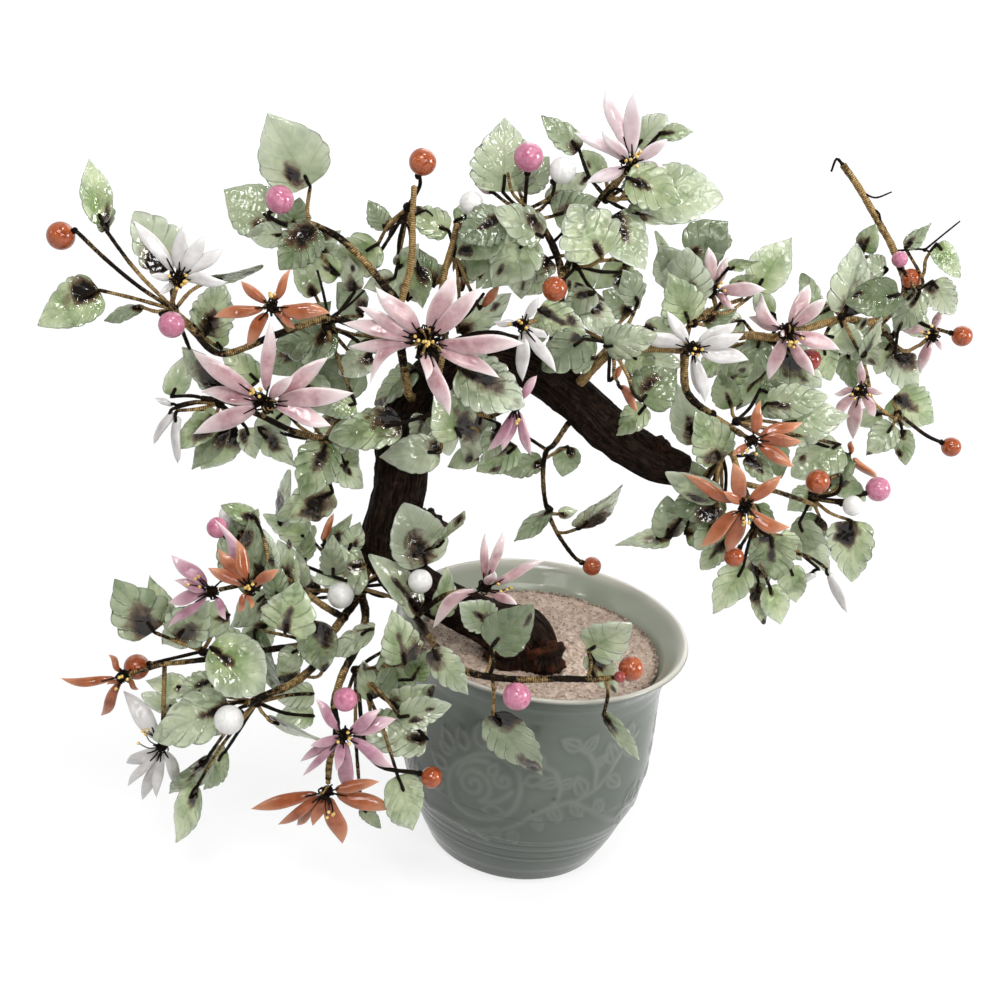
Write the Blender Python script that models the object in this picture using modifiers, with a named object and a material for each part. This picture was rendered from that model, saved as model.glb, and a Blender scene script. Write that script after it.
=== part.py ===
"""Ornamental glass tree in a celadon pot.

A hewn dark trunk stands in a bed of sand and carries thread-wrapped wire
boughs with glass flowers, beads and bunches of leaves.
"""

import math

import bmesh
import bpy
from mathutils import Matrix, Vector
from mathutils.bvhtree import BVHTree

# ------------------------------------------------------------------- pot ---
# Millimetres: outside and inside of the pot as radius, height from the foot.
POT_OUTSIDE = [(36.0, 0.0), (38.6, 1.2), (42.0, 4.0), (45.6, 11.3), (49.7, 20.0), (49.4, 21.0),
               (54.9, 33.8), (57.5, 47.3), (57.7, 62.0), (57.0, 88.0), (57.8, 97.0), (60.4, 105.0),
               (64.6, 110.6), (66.3, 112.3), (65.6, 113.4), (63.9, 113.2)]
POT_INSIDE = [(60.6, 109.6), (56.6, 104.6), (53.6, 97.6), (52.8, 80.0), (51.6, 44.0), (44.0, 18.0),
              (34.0, 6.5)]
SAND_SIDE = [(33.5, 6.9), (43.5, 18.2), (51.1, 44.1), (52.3, 80.0), (53.1, 97.6), (54.4, 100.6)]
SAND_TOP = 101.6
SECTORS = 30
TRUNK_ROUNDING = 2
WELD = 0.0005
MM = 0.001
# ---------------------------------------------------------------- layout ---
# Millimetres.  The tree is set out on an upright board through the middle of
# the pot, seen from VIEWPOINT: x to the right, z up, and `out` brings a point
# off the board towards the viewer.  All wires, flowers and sprays are placed
# this way, so the crown keeps its look from the front whatever its depth.
VIEWPOINT = Vector((-26.0, -575.0, 420.0))
SEAT_GAP = 0.3
CLEARANCE = 0.35
KNOT_RADIUS = 2.0
HUB_RADIUS = 2.6
PETIOLE_RADIUS = 0.6
LEAF_THICKNESS = 1.7
PETAL_THICKNESS = 2.0
PETAL_SLIMNESS = 0.78

# Trunk: centre line x, y, z and radius, from the root peg to the sawn limb end.
TRUNK = [
    (-5, -13, 93, 8.0), (-5, -13, 104, 12.0), (-10, -12, 112, 12.5), (-28, -9, 117, 10.0),
    (-50, -5, 123, 9.5), (-65, -3, 132, 10.5), (-72, -2, 145, 12.0), (-71, -2, 163, 11.5),
    (-70, -2, 182, 11.0), (-70, -1, 200, 10.5), (-65, 0, 216, 9.8), (-54, 2, 229, 9.0),
    (-38, 3, 236, 8.8), (-20, 4, 232, 9.0), (-2, 5, 222, 9.2), (13, 6, 210, 9.4),
    (27, 7, 201, 9.2), (40, 8, 195, 8.4), (53, 8, 192, 6.8)]
TRUNK_LUMPS = [((-57, -4, 156), 8.0), ((2, -20, 108), 8.5), ((-16, -20, 106), 8.0),
               ((40, 6, 203), 4.4), ((-80, -4, 141), 6.0)]

# Boughs: each is a set of wires; a wire is (radius, [(x, z, out), ...]).
# The first wire starts on the trunk and the others start on an earlier wire.
BOUGHS = {
    "bough_left": [
        (1.9, [(-70, 214, 13), (-75, 235, 15), (-77, 252, 16), (-84, 260, 16), (-93, 269, 15),
               (-103, 277, 14), (-113, 281, 12), (-119, 282, 11)]),
        (1.6, [(-77, 252, 16), (-74, 270, 16), (-75, 290, 16), (-75.5, 302, 15)]),
        (1.7, [(-75, 235, 15), (-90, 240, 16), (-106, 243, 18), (-128, 233, 20), (-150, 222, 24),
               (-163, 231, 26), (-172, 240, 28)]),
        (0.6, [(-74, 282, 16), (-78, 287, 17), (-83, 284, 18), (-84, 279, 18)]),
        (0.6, [(-75, 290, 16), (-70, 293, 18), (-67, 291, 18)]),
        (0.7, [(-106, 243, 18), (-109, 254, 19), (-112, 263, 19)]),
        (0.7, [(-106, 243, 18), (-98, 250, 17), (-92, 257, 16)])],
    "bough_side": [
        (1.6, [(-81, 199, 3), (-90, 196, 14), (-102, 190, 22), (-117, 191, 28), (-131, 196, 28),
               (-146, 201, 26), (-158, 201, 28)])],
    "bough_mid": [
        (1.7, [(-57, 240, 4), (-60, 252, 4), (-60, 268, 4), (-58, 280, 4), (-57, 289, 4)]),
        (1.3, [(-58, 243, 4), (-57, 236, 16), (-58, 222, 20), (-57, 213, 21), (-46, 210, 21),
               (-34, 209, 20)]),
        (0.9, [(-59, 247, 4), (-50, 251, 4), (-43, 262, 3)])],
    "bough_top": [
        (2.0, [(-12, 239, 4), (-12, 255, 5), (-12, 272, 5), (-18, 286, 6), (-28, 298, 8)]),
        (1.3, [(-12, 270, 5), (-8, 289, 4), (-2, 305, 4), (3, 313, 4)]),
        (0.7, [(-2, 305, 4), (5, 311, 5), (12, 306, 6), (18, 309, 6)]),
        (0.7, [(-18, 286, 6), (-12, 293, 9), (-7, 292, 10)]),
        (0.8, [(-28, 298, 8), (-36, 304, 8), (-39, 312, 8)])],
    "bough_right": [
        (2.1, [(6, 235, 6), (12, 243, 6), (30, 248, 3), (42, 249, -3), (54, 254, -13),
               (66, 258, -20), (80, 259, -28), (92, 265, -36), (104, 270, -42), (117, 271, -50),
               (126, 284, -55), (118, 300, -56), (110, 310, -56), (99, 323, -56), (91, 331, -56)]),
        (1.3, [(42, 249, -3), (43, 261, -8), (52, 268, -12), (62, 273, -17)]),
        (1.9, [(42, 249, -3), (46, 231, -4), (58, 222, -7), (72, 215, -12)]),
        (1.6, [(58, 222, -7), (69, 207, -8), (76, 193, -8), (84, 181, -9), (90, 173, -10)]),
        (1.3, [(76, 193, -8), (92, 191, -14), (110, 187, -22)]),
        (1.2, [(117, 271, -50), (130, 260, -54), (137, 263, -57)]),
        (1.1, [(117, 271, -50), (115, 257, -52), (120, 244, -54), (124, 236, -52),
               (138, 228, -52)]),
        (0.7, [(91, 331, -56), (88, 333, -56), (87, 328, -55)]),
        (0.6, [(118, 300, -56), (130, 302, -57), (141, 297, -57)]),
        (0.5, [(130, 302, -57), (135, 308, -58), (141, 315, -58)]),
        (0.5, [(100, 322, -56), (106, 320, -55), (112, 323, -55)]),
        (0.5, [(105, 316, -56), (109, 314, -55), (111, 308, -55)])],
    "bough_low": [
        (2.2, [(-82, 128, 8), (-83, 118, 16), (-90, 104, 30), (-97, 90, 42), (-101, 78, 54),
               (-110, 67, 66), (-120, 60, 76), (-132, 52, 82)]),
        (1.6, [(-90, 104, 30), (-100, 109, 45), (-118, 120, 62), (-127, 118, 72)]),
        (1.5, [(-97, 90, 42), (-118, 84, 58), (-140, 77, 68), (-156, 72, 72), (-171, 68, 74)]),
        (1.9, [(-83, 118, 16), (-80, 106, 30), (-82, 92, 50), (-88, 75, 68), (-91, 58, 80),
               (-89, 44, 88), (-91, 26, 92), (-91, 16, 94)])],
}

# Flowers: colour, bough, hub (x, z, out), petals (tip x, tip z, width, out, sway).
FLOWERS = {
    "flower_heart": ("pink", "bough_left", (-65, 238, 46), [
        (-88, 260, 11), (-95, 250, 8), (-101, 243, 9), (-98, 232, 7), (-87, 215, 7, 8, 0.25),
        (-63, 222, 8, 12), (-52, 206, 10, 4), (-31, 227, 9), (-23, 243, 11), (-43, 265, 10),
        (-56, 272, 11, -6)]),
    "flower_left_pink": ("pink", "bough_side", (-130, 203, 42), [
        (-131, 240, 8), (-164, 222, 10, -4), (-160, 204, 9, -6), (-162, 184, 11), (-104, 227, 10, -8),
        (-120, 216, 7, 10), (-92, 213, 11), (-101, 196, 11, 4)]),
    "flower_left_white": ("white", "bough_left", (-169, 252, 36), [
        (-188, 275, 8), (-168, 276, 9, -6), (-159, 272, 10), (-150, 268, 8, -4), (-148, 254, 7, 4),
        (-177, 244, 6, 6), (-181, 252, 6, 6)]),
    "flower_left_orange": ("orange", "bough_left", (-130, 245, 36), [
        (-155, 238, 7, 4), (-144, 254, 9), (-123, 263, 5, -4), (-105, 245, 10), (-141, 226, 8, 4),
        (-119, 237, 7)]),
    "flower_summit": ("blush", "bough_top", (9, 321, 8), [
        (-6, 349, 8, -6), (6, 350, 9), (-15, 332, 6), (-4, 333, 6, 8), (22, 333, 7),
        (26, 320, 7, -4), (-8, 311, 8, 4), (18, 316, 7, 8)]),
    "flower_upper_right": ("pink", "bough_right", (49, 275, -12), [
        (45, 293, 8), (54, 290, 6, -4), (71, 279, 11, 4), (60, 268, 8, 6)]),
    "flower_right_pink": ("pink", "bough_right", (82, 262, -18), [
        (70, 277, 10, 4, -0.25), (65, 266, 8, -4), (96, 278, 8), (106, 257, 14), (97, 243, 7, 6),
        (78, 240, 9), (88, 283, 9, -8), (80, 260, 8, 8)]),
    "flower_centre_white": ("white", "bough_right", (45, 250, 8), [
        (32, 264, 9), (22, 253, 10, 2), (66, 258, 9, 2), (70, 247, 9), (62, 264, 8, -6),
        (56, 226, 7, 2), (52, 229, 6, -4)]),
    "flower_far_pink": ("pink", "bough_right", (117, 241, -42), [
        (115, 254, 12), (106, 238, 8), (127, 241, 8), (112, 225, 6, 2, 0.2), (118, 218, 9),
        (127, 229, 6, -4)]),
    "flower_tip_pink": ("pink", "bough_right", (141, 268, -54), [
        (127, 270, 8), (142, 281, 8, -4), (139, 250, 9, 2), (147, 262, 6)]),
    "flower_right_orange": ("orange", "bough_right", (77, 213, 2), [
        (77, 231, 8), (97, 225, 7, -4), (98, 216, 8), (97, 203, 10, 4), (70, 205, 7, 6)]),
    "flower_low_orange": ("orange", "bough_right", (79, 183, 6), [
        (70, 203, 11, 6), (50, 193, 7), (93, 199, 11), (101, 175, 10, 0, 0.15), (64, 160, 9),
        (76, 158, 12, -4), (69, 188, 8, 8)]),
    "flower_coral": ("orange", "bough_low", (-133, 113, 88), [
        (-153, 121, 14), (-149, 131, 10, -6), (-141, 137, 10, -8), (-121, 125, 8, 2), (-139, 99, 12, 6),
        (-132, 102, 8, 8)]),
    "flower_mauve": ("pink", "bough_low", (-150, 109, 76), [
        (-170, 125, 11), (-152, 146, 8, 0, 0.3), (-168, 112, 7, 4), (-170, 101, 12), (-171, 86, 6),
        (-143, 95, 10, 6)]),
    "flower_far_orange": ("orange", "bough_low", (-190, 59, 78), [
        (-220, 54, 6, 0, -0.1), (-198, 52, 6, 4), (-197, 70, 8, -4), (-201, 33, 7), (-183, 51, 7)]),
    "flower_low_white": ("white", "bough_low", (-171, 23, 78), [
        (-190, 52, 12, -2), (-190, 8, 9), (-188, -4, 6, 4), (-181, -11, 8, -4), (-174, -8, 7, 4),
        (-162, 0, 8)]),
    "flower_low_pink": ("pink", "bough_low", (-85, 42, 98), [
        (-101, 59, 7), (-101, 32, 12, 4), (-105, 24, 6, -4), (-104, 15, 5, 2), (-81, 8, 10, -4),
        (-88, 21, 9, 6), (-69, 57, 9), (-61, 54, 9, -5), (-60, 27, 9)]),
    "flower_fan": ("orange", "bough_low", (-91, 9, 98), [
        (-128, -8, 9), (-115, -17, 7, 4), (-106, -14, 8, -4), (-97, -12, 10, 3), (-81, -21, 13),
        (-65, 18, 8, 4), (-58, 3, 11, -3)]),
    "flower_rim": ("pink", "spray_front", (-28, 128, 44), [
        (-22, 158, 6), (-31, 156, 5, -4), (-24, 137, 11, 8), (-2, 146, 6), (-12, 121, 11, 4),
        (-50, 104, 8, 4, 0.15)]),
    "flower_hanging": ("pink", "bough_mid", (-24, 216, 28), [
        (-35, 193, 6, 0, -0.1), (-28, 194, 8), (-15, 192, 6), (-17, 230, 12, -4)]),
    "flower_inner_white": ("white", "bough_top", (-26, 251, 26), [
        (-20, 264, 7), (-38, 250, 10), (-22, 226, 8, 2), (-9, 232, 7), (-14, 246, 8, -6)]),
}

# Sprays: bough, knot (x, z, out), leaves, beads and odd petals of one bunch.
# A leaf is (base x, base z, tip x, tip z, width, out from the knot).
# A bead is (colour, x, z, out, diameter, [way points of its stem]).
# An odd petal is (colour, base x, base z, tip x, tip z, width, out).
SPRAYS = {
    "spray_left": ("bough_left", (-170, 238, 28), [
        (-201, 271, -206, 296, 12, 4), (-199, 268, -201, 284, 6, -2), (-202, 243, -227, 225, 19, 4),
        (-184, 238, -200, 231, 5, 0), (-172, 256, -187, 277, 20, -12), (-157, 229, -151, 252, 18, -10),
        (-156, 253, -135, 261, 5, -14), (-155, 206, -163, 219, 5, -6), (-150, 224, -160, 240, 10, -16)],
        [("orange", -218, 264, 32, 11.7, [(-186, 247, 29), (-200, 257, 31), (-212, 267, 32)]),
         ("pink", -171.5, 232, 40, 11.2, [])], []),
    "spray_arc": ("bough_left", (-117, 281, 11), [
        (-132, 281, -151, 291, 21, -8), (-117, 297, -135, 322, 27, -4), (-124, 278, -121, 291, 13, -14),
        (-127, 276, -141, 274, 10, 0), (-114, 281, -127, 262, 17, 8), (-112, 273, -101, 268, 8, -6),
        (-116, 270, -104, 280, 9, -10), (-103, 262, -116, 268, 11, -4)],
        [("pink", -129, 290, 18, 11.6, [(-126, 280, 13), (-133, 283, 15)])], []),
    "spray_upright": ("bough_left", (-75, 293, 16), [
        (-88, 277, -105, 262, 17, -10), (-85, 283, -93, 293, 9, -8), (-79, 268, -72, 278, 8, -8),
        (-80, 264, -92, 258, 9, -6), (-71, 270, -68, 253, 10, -10), (-90, 268, -104, 276, 12, -14)],
        [("orange", -73, 312, 16, 11.0, [])], []),
    "spray_mid": ("bough_mid", (-59, 277, 4), [
        (-60, 286, -77, 292, 12, -2), (-74, 255, -72, 274, 14, -10), (-38, 294, -55, 284, 16, 6),
        (-56, 279, -44, 283, 9, 2), (-64, 262, -70, 276, 12, -8), (-58, 290, -44, 296, 11, -8),
        (-54, 268, -44, 276, 10, -6),
        (-52, 244, -32, 262, 10, -10)],
        [("white", -52, 298, 8, 9.8, [])],
        [("orange", -52, 262, -53, 276, 9, -8), ("orange", -44, 255, -37, 266, 9, -6)]),
    "spray_left_mid": ("bough_left", (-108, 242, 18), [
        (-102, 238, -127, 228, 22, -4), (-89, 222, -112, 212, 18, -12), (-92, 246, -103, 258, 13, -12),
        (-96, 256, -100, 270, 8, -6), (-92, 207, -104, 201, 9, -2), (-110, 226, -96, 213, 14, -16),
        (-87, 230, -100, 220, 12, -4), (-84, 238, -97, 232, 11, -14), (-118, 236, -106, 250, 12, -16),
        (-116, 214, -102, 210, 12, -6),
        (-112, 252, -121, 268, 10, -16), (-116, 228, -130, 216, 12, -18)], [], []),
    "spray_side": ("bough_side", (-103, 190, 22), [
        (-133, 191, -117, 175, 11, 0), (-128, 191, -120, 182, 9, -8), (-103, 188, -112, 161, 19, 4),
        (-99, 165, -122, 149, 16, -2), (-88, 196, -101, 184, 10, -4), (-100, 182, -86, 169, 14, -8),
        (-121, 146, -119, 172, 5, -8), (-122, 200, -134, 186, 12, -8), (-112, 204, -98, 208, 10, -10),
        (-94, 178, -92, 190, 9, -10),
        (-96, 202, -108, 192, 10, -14)], [], []),
    "spray_under": ("bough_side", (-150, 201, 26), [
        (-171, 200, -164, 219, 10, -4), (-152, 193, -168, 177, 12, 0), (-146, 190, -162, 169, 11, -6),
        (-142, 188, -157, 168, 13, -12), (-148, 206, -166, 222, 10, -10), (-158, 196, -150, 180, 11, -14),
        (-138, 190, -134, 176, 10, -6),
        (-134, 212, -150, 224, 12, -12)], [],
        [("white", -169, 195, -180, 177, 8, 4), ("white", -168, 194, -169, 168, 4, 4),
         ("white", -169, 196, -178, 199, 6, 2)]),
    "spray_inner": ("bough_mid", (-52, 211, 21), [
        (-72, 201, -101, 190, 17, 2), (-54, 190, -79, 184, 16, 4), (-46, 198, -58, 217, 20, 10),
        (-52, 214, -38, 217, 12, 2), (-50, 229, -22, 216, 23, 6), (-38, 211, -42, 186, 13, -2),
        (-38, 192, -50, 184, 9, -8), (-22, 197, -37, 183, 13, -4), (-56, 208, -50, 190, 14, -6),
        (-30, 206, -34, 188, 11, -8), (-46, 216, -32, 204, 14, -6), (-62, 206, -66, 192, 10, -4),
        (-68, 226, -84, 208, 12, -14)], [], []),
    "spray_umbel": ("bough_top", (-29, 299, 8), [
        (-40, 304, -42, 332, 25, -8), (-19, 297, -3, 306, 14, -4), (-22, 288, -42, 297, 15, 4),
        (-28, 288, -39, 265, 20, 4), (-30, 278, -28, 262, 12, -6), (-20, 275, -27, 262, 10, -12),
        (-40, 290, -56, 276, 16, -4), (-34, 306, -24, 320, 14, -12), (-44, 282, -50, 268, 12, -10),
        (-36, 278, -46, 264, 12, -14),
        (-22, 302, -6, 316, 10, -14)],
        [("pink", -31.5, 319, 10, 11.8, []), ("white", -17.5, 315.5, 10, 10.6, [])],
        [("blush", -43, 303, -53, 307, 8, -10)]),
    "spray_summit": ("bough_top", (1, 306, 4), [
        (-12, 324, -28, 335, 10, -6), (10, 328, 19, 341, 14, -10), (18, 334, 30, 337, 5, -8),
        (18, 312, 46, 312, 22, 4), (20, 318, 34, 322, 6, -4), (12, 308, 15, 321, 13, 4),
        (10, 303, 35, 302, 8, -4), (8, 316, 30, 309, 17, 8), (0, 314, -10, 324, 9, -8)], [], []),
    "spray_top": ("bough_top", (-12, 279, 5), [
        (3, 283, -12, 302, 24, 6), (4, 300, 20, 281, 18, -2), (13, 278, 20, 264, 12, -6),
        (-2, 282, -8, 266, 13, -6), (-18, 280, -26, 268, 10, -8), (2, 268, -10, 260, 11, 6),
        (14, 283, 2, 270, 10, -12)],
        [("orange", -14.5, 267.5, 16, 10.3, [])], []),
    "spray_centre": ("bough_right", (12, 245, 6), [
        (-20, 258, 0, 250, 14, 4), (0, 262, 14, 250, 12, 2), (18, 262, 6, 269, 12, -8),
        (6, 240, -10, 243, 15, 8), (9, 246, 29, 253, 15, 4), (28, 224, 40, 240, 20, 4),
        (30, 222, 20, 208, 11, -4), (0, 248, -15, 233, 17, 10), (20, 266, 13, 278, 11, -4),
        (4, 258, -6, 270, 12, -6), (-16, 252, -27, 243, 10, 2), (20, 244, 32, 236, 12, -8),
        (26, 244, 42, 242, 10, -14), (24, 256, 40, 256, 9, -10)], [],
        [("orange", 13, 231, 19, 239, 7, 6), ("orange", 17, 231, 28, 219, 7, 6)]),
    "spray_upper_right": ("bough_right", (43, 260, -8), [
        (38, 288, 50, 303, 18, -6), (40, 268, 36, 290, 20, 2), (42, 260, 31, 279, 18, 8),
        (30, 281, 24, 296, 5, -8), (54, 285, 66, 290, 5, -6), (67, 277, 76, 300, 16, -4),
        (36, 276, 26, 290, 15, -8), (48, 262, 60, 268, 9, -10), (50, 290, 44, 302, 11, -12),
        (56, 277, 65, 283, 6, -8)], [], []),
    "spray_right_mid": ("bough_right", (78, 259, -27), [
        (80, 254, 100, 240, 16, -2), (72, 258, 70, 237, 12, 2), (60, 236, 71, 246, 10, 4),
        (93, 270, 84, 286, 8, -6), (68, 252, 58, 240, 13, -10), (90, 250, 78, 236, 17, -10),
        (64, 264, 52, 258, 10, -10), (98, 258, 104, 244, 11, -10), (76, 268, 66, 276, 9, -12),
        (76, 246, 68, 226, 10, -14), (58, 250, 50, 237, 10, -12)],
        [("crimson", 94, 251, -24, 9.3, [])], []),
    "spray_right_low": ("bough_right", (68, 217, -11), [
        (80, 230, 104, 236, 14, -8), (88, 222, 114, 229, 20, -12), (114, 216, 97, 200, 20, -14),
        (76, 236, 92, 226, 15, -12), (84, 214, 92, 198, 13, -10), (66, 226, 58, 240, 12, -6),
        (118, 212, 109, 196, 13, -18),
        (54, 208, 42, 232, 15, -12)],
        [], []),
    "spray_crown": ("bough_right", (102, 269, -41), [
        (104, 272, 103, 300, 16, 4), (106, 298, 108, 309, 9, -4), (117, 292, 107, 296, 8, -8),
        (124, 283, 104, 277, 15, 8), (115, 255, 119, 272, 6, 6), (98, 262, 116, 261, 12, 4), (104, 254, 113, 271, 9, -4),
        (98, 274, 88, 266, 9, -8), (110, 262, 122, 252, 11, -6)], [], []),
    "spray_right_top": ("bough_right", (123, 281, -54), [
        (122, 302, 131, 312, 6, 0), (134, 305, 146, 293, 9, 2), (136, 290, 147, 278, 13, 4),
        (132, 285, 126, 268, 12, 2), (125, 266, 111, 263, 10, 6), (128, 258, 141, 243, 13, 2),
        (125, 262, 122, 249, 12, -4), (130, 274, 142, 268, 10, -8), (122, 276, 112, 286, 11, -10),
        (108, 258, 114, 241, 12, -8)],
        [("pink", 121, 297, -46, 6.5, []), ("orange", 127, 290, -48, 8.0, []),
         ("orange", 153, 269, -58, 8.6, [(136, 272, -58), (146, 270, -58)])],
        [("white", 116, 287, 104, 291, 7, 0)]),
    "spray_right_far": ("bough_right", (134, 230, -52), [
        (132, 240, 150, 231, 18, -4), (134, 228, 126, 213, 12, 4), (138, 226, 143, 211, 9, 4), (128, 232, 118, 226, 9, -6)],
        [("orange", 160, 221, -53, 8.4, [(148, 225, -52)])], []),
    "spray_hook": ("bough_right", (108, 187, -21), [
        (114, 201, 130, 192, 10, -6), (104, 178, 121, 156, 11, 0), (126, 182, 132, 154, 20, 2), (112, 182, 104, 164, 14, -8),
        (108, 194, 98, 184, 11, -8)],
        [("orange", 108, 198, -14, 10.5, [(117, 194, -18), (117, 202, -16)]),
         ("pink", 134, 198, -24, 10.7, [(121, 191, -22)]), ("white", 125, 189, -16, 8.9, [])],
        [("orange", 119, 211, 133, 202, 8, -14), ("orange", 119, 211, 118, 219, 6, -14)]),
    "spray_right_base": ("bough_right", (88, 176, -10), [
        (93, 170, 98, 149, 20, 4), (97, 146, 106, 128, 12, 0), (92, 147, 97, 127, 9, -6),
        (84, 154, 75, 130, 15, 4), (84, 184, 94, 168, 10, -8), (92, 160, 84, 140, 14, -8),
        (104, 157, 110, 140, 12, -6), (97, 171, 108, 161, 10, -6)],
        [("orange", 79, 158, 2, 8.9, [])],
        [("white", 117, 157, 103, 142, 8, -4), ("white", 120, 158, 134, 137, 7, 2)]),
    "spray_limb_end": ("bough_right", (68, 208, -8), [
        (49, 163, 46, 182, 14, -8), (56, 166, 74, 172, 15, -6), (68, 184, 44, 193, 9, 6),
        (70, 186, 47, 176, 17, 0), (66, 202, 52, 222, 18, 8), (50, 163, 27, 158, 5, -8), (62, 172, 54, 186, 13, -12),
        (60, 190, 48, 200, 10, -10), (70, 174, 62, 160, 11, 2),
        (76, 206, 90, 194, 9, -14), (74, 166, 66, 150, 11, -8)], [], []),
    "spray_knee": ("bough_low", (-84, 117, 16), [
        (-55, 135, -67, 163, 24, 12), (-56, 112, -80, 136, 11, 18), (-52, 145, -40, 162, 5, 6),
        (-46, 110, -45, 134, 10, 10), (-82, 132, -104, 121, 22, 8), (-100, 138, -90, 155, 5, -4),
        (-110, 128, -108, 148, 8, 4), (-118, 112, -116, 138, 10, 20), (-110, 116, -121, 138, 12, 8),
        (-96, 124, -98, 142, 11, 0), (-104, 112, -112, 126, 10, -4),
        (-106, 140, -128, 150, 13, -14), (-90, 138, -86, 152, 10, -10)],
        [("white", -57, 127, 34, 11.0, []), ("white", -92, 115, 36, 12.0, [])],
        [("orange", -102, 139, -98, 156, 6, 4)]),
    "spray_coral": ("bough_low", (-122, 119, 67), [
        (-142, 118, -146, 138, 10, -6), (-130, 112, -134, 145, 13, -4), (-140, 136, -132, 151, 12, -12),
        (-116, 92, -112, 118, 24, 16), (-126, 120, -128, 142, 12, -10), (-134, 128, -144, 146, 12, -16),
        (-120, 108, -124, 128, 11, 4),
        (-126, 110, -142, 92, 10, -14), (-132, 148, -147, 152, 9, -12)],
        [("pink", -149, 141, 66, 9.5, []), ("white", -144, 148, 54, 9.0, [])], []),
    "spray_low_mid": ("bough_low", (-98, 88, 44), [
        (-103, 100, -98, 74, 17, 22), (-130, 92, -118, 60, 8, 14), (-120, 66, -108, 78, 12, 2),
        (-124, 96, -134, 82, 14, 4), (-110, 84, -118, 72, 11, 8),
        (-76, 100, -95, 84, 7, 22)], [], []),
    "spray_far_left": ("bough_low", (-153, 73, 71), [
        (-166, 82, -152, 103, 20, 0), (-176, 84, -194, 108, 25, 0), (-172, 90, -178, 111, 12, -10),
        (-145, 62, -160, 60, 10, -6), (-136, 58, -148, 64, 9, -10), (-150, 80, -124, 60, 27, 10),
        (-142, 98, -162, 88, 15, -8), (-160, 90, -172, 78, 13, -8), (-136, 76, -146, 92, 14, -6)],
        [("orange", -184, 64.5, 74, 12.0, [])], []),
    "spray_low_front": ("bough_low", (-128, 55, 80), [
        (-160, 56, -179, 58, 11, -6), (-165, 44, -181, 50, 9, -8), (-140, 50, -175, 27, 24, 6),
        (-149, 20, -166, -5, 12, 0), (-154, 2, -163, -31, 14, 6), (-141, 24, -150, 2, 8, -6),
        (-122, 46, -92, 36, 5, 0), (-101, 62, -119, 58, 13, -8), (-100, 50, -117, 48, 12, -12),
        (-150, 62, -164, 52, 12, -8)],
        [("white", -140, 42, 94, 14.0, [])], []),
    "spray_pot_side": ("bough_low", (-86, 80, 64), [
        (-60, 84, -68, 110, 18, 14), (-66, 92, -60, 62, 18, 4), (-62, 60, -46, 73, 18, 14),
        (-60, 55, -38, 65, 14, 22), (-46, 45, -80, 42, 18, 10), (-58, 22, -48, -8, 20, 26),
        (-74, 2, -64, -8, 7, 22), (-74, 62, -79, 82, 10, 8), (-76, 78, -58, 66, 15, 0),
        (-72, 48, -56, 56, 13, 0), (-56, 76, -50, 92, 11, 4)],
        [("pink", -86, 61, 96, 11.4, []), ("orange", -42, 24, 92, 10.5, [(-72, 31, 90)])], []),
    "spray_front": (None, (-26, 82, 88), [
        (-22, 98, -6, 122, 20, -2), (-22, 110, -38, 118, 16, -14), (22, 103, 39, 118, 20, -4),
        (24, 101, 38, 83, 12, -8), (34, 71, 53, 49, 10, 2), (-17, 63, 9, 33, 14, 2),
        (-48, 93, -30, 72, 14, 2), (24, 98, 32, 110, 12, -10)],
        [("pink", -7, 74, 98, 13.3, []), ("orange", 43, 96, 88, 11.8, []),
         ("crimson", 38.5, 91, 92, 5.5, [])], []),
    "spray_hanging": (None, (-8, 190, -14), [
        (-10, 192, -26, 184, 10, -4), (0, 200, 0, 186, 11, -10), (-3, 170, -17, 153, 9, -4),
        (0, 168, 8, 171, 5, -8), (9, 162, 26, 183, 10, -10)],
        [("orange", 18, 145, -34, 8.4, [])], []),
}
# Wires that belong to a spray itself; the first starts on the trunk.
SPRAY_WIRES = {
    "spray_front": [
        (1.8, [(-62, 119, 14), (-56, 107, 32), (-47, 95, 56), (-37, 87, 78), (-27, 83, 88),
               (-8, 83, 92), (10, 86, 92), (26, 88, 90), (35, 90, 88)]),
        (1.4, [(-57, 109, 29), (-46, 121, 36), (-34, 126, 40)])],
    "spray_hanging": [
        (1.3, [(-3, 207, -2), (-6, 200, -8), (-9, 196, -12), (-9, 186, -16), (-6, 172, -22),
               (0, 160, -28), (9, 149, -33), (14, 146, -34)]),
        (0.9, [(-9, 197, -11), (-20, 203, -7)])],
}

ROLLS = (0.16, -0.22, 0.3, -0.12, 0.24, -0.3)
TILTS = (-4.0, 3.0, 5.0, -2.0, 4.0, -5.0, 1.0)
SHIFTS = (0, 3, -3, 6, -6, 9, -9, 12, -12, 16, -16, 20, -20, 25, -25, 30, -30)
BULGES = (0.0, 2.5, 5.0, 8.0, 12.0)


def spot(x, z, out=0.0):
    """Point at board position x, z brought `out` towards the viewer."""
    board = Vector((x, 0.0, z))
    return board + (VIEWPOINT - board).normalized() * out


def nearness(x, z, out):
    """True size of something that covers one millimetre of the board."""
    return 1.0 - out / (VIEWPOINT - Vector((x, 0.0, z))).length


def across(direction, toward):
    """Unit vector square to `direction`, as near as possible to `toward`."""
    side = toward - direction * toward.dot(direction)
    if side.length < 1e-6:
        side = direction.orthogonal()
    return side.normalized()


def taken(made):
    """Vertices and faces of a bmesh, which is freed."""
    made.verts.index_update()
    verts = [corner.co.copy() for corner in made.verts]
    faces = [tuple(corner.index for corner in face.verts) for face in made.faces]
    made.free()
    return verts, faces


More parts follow.
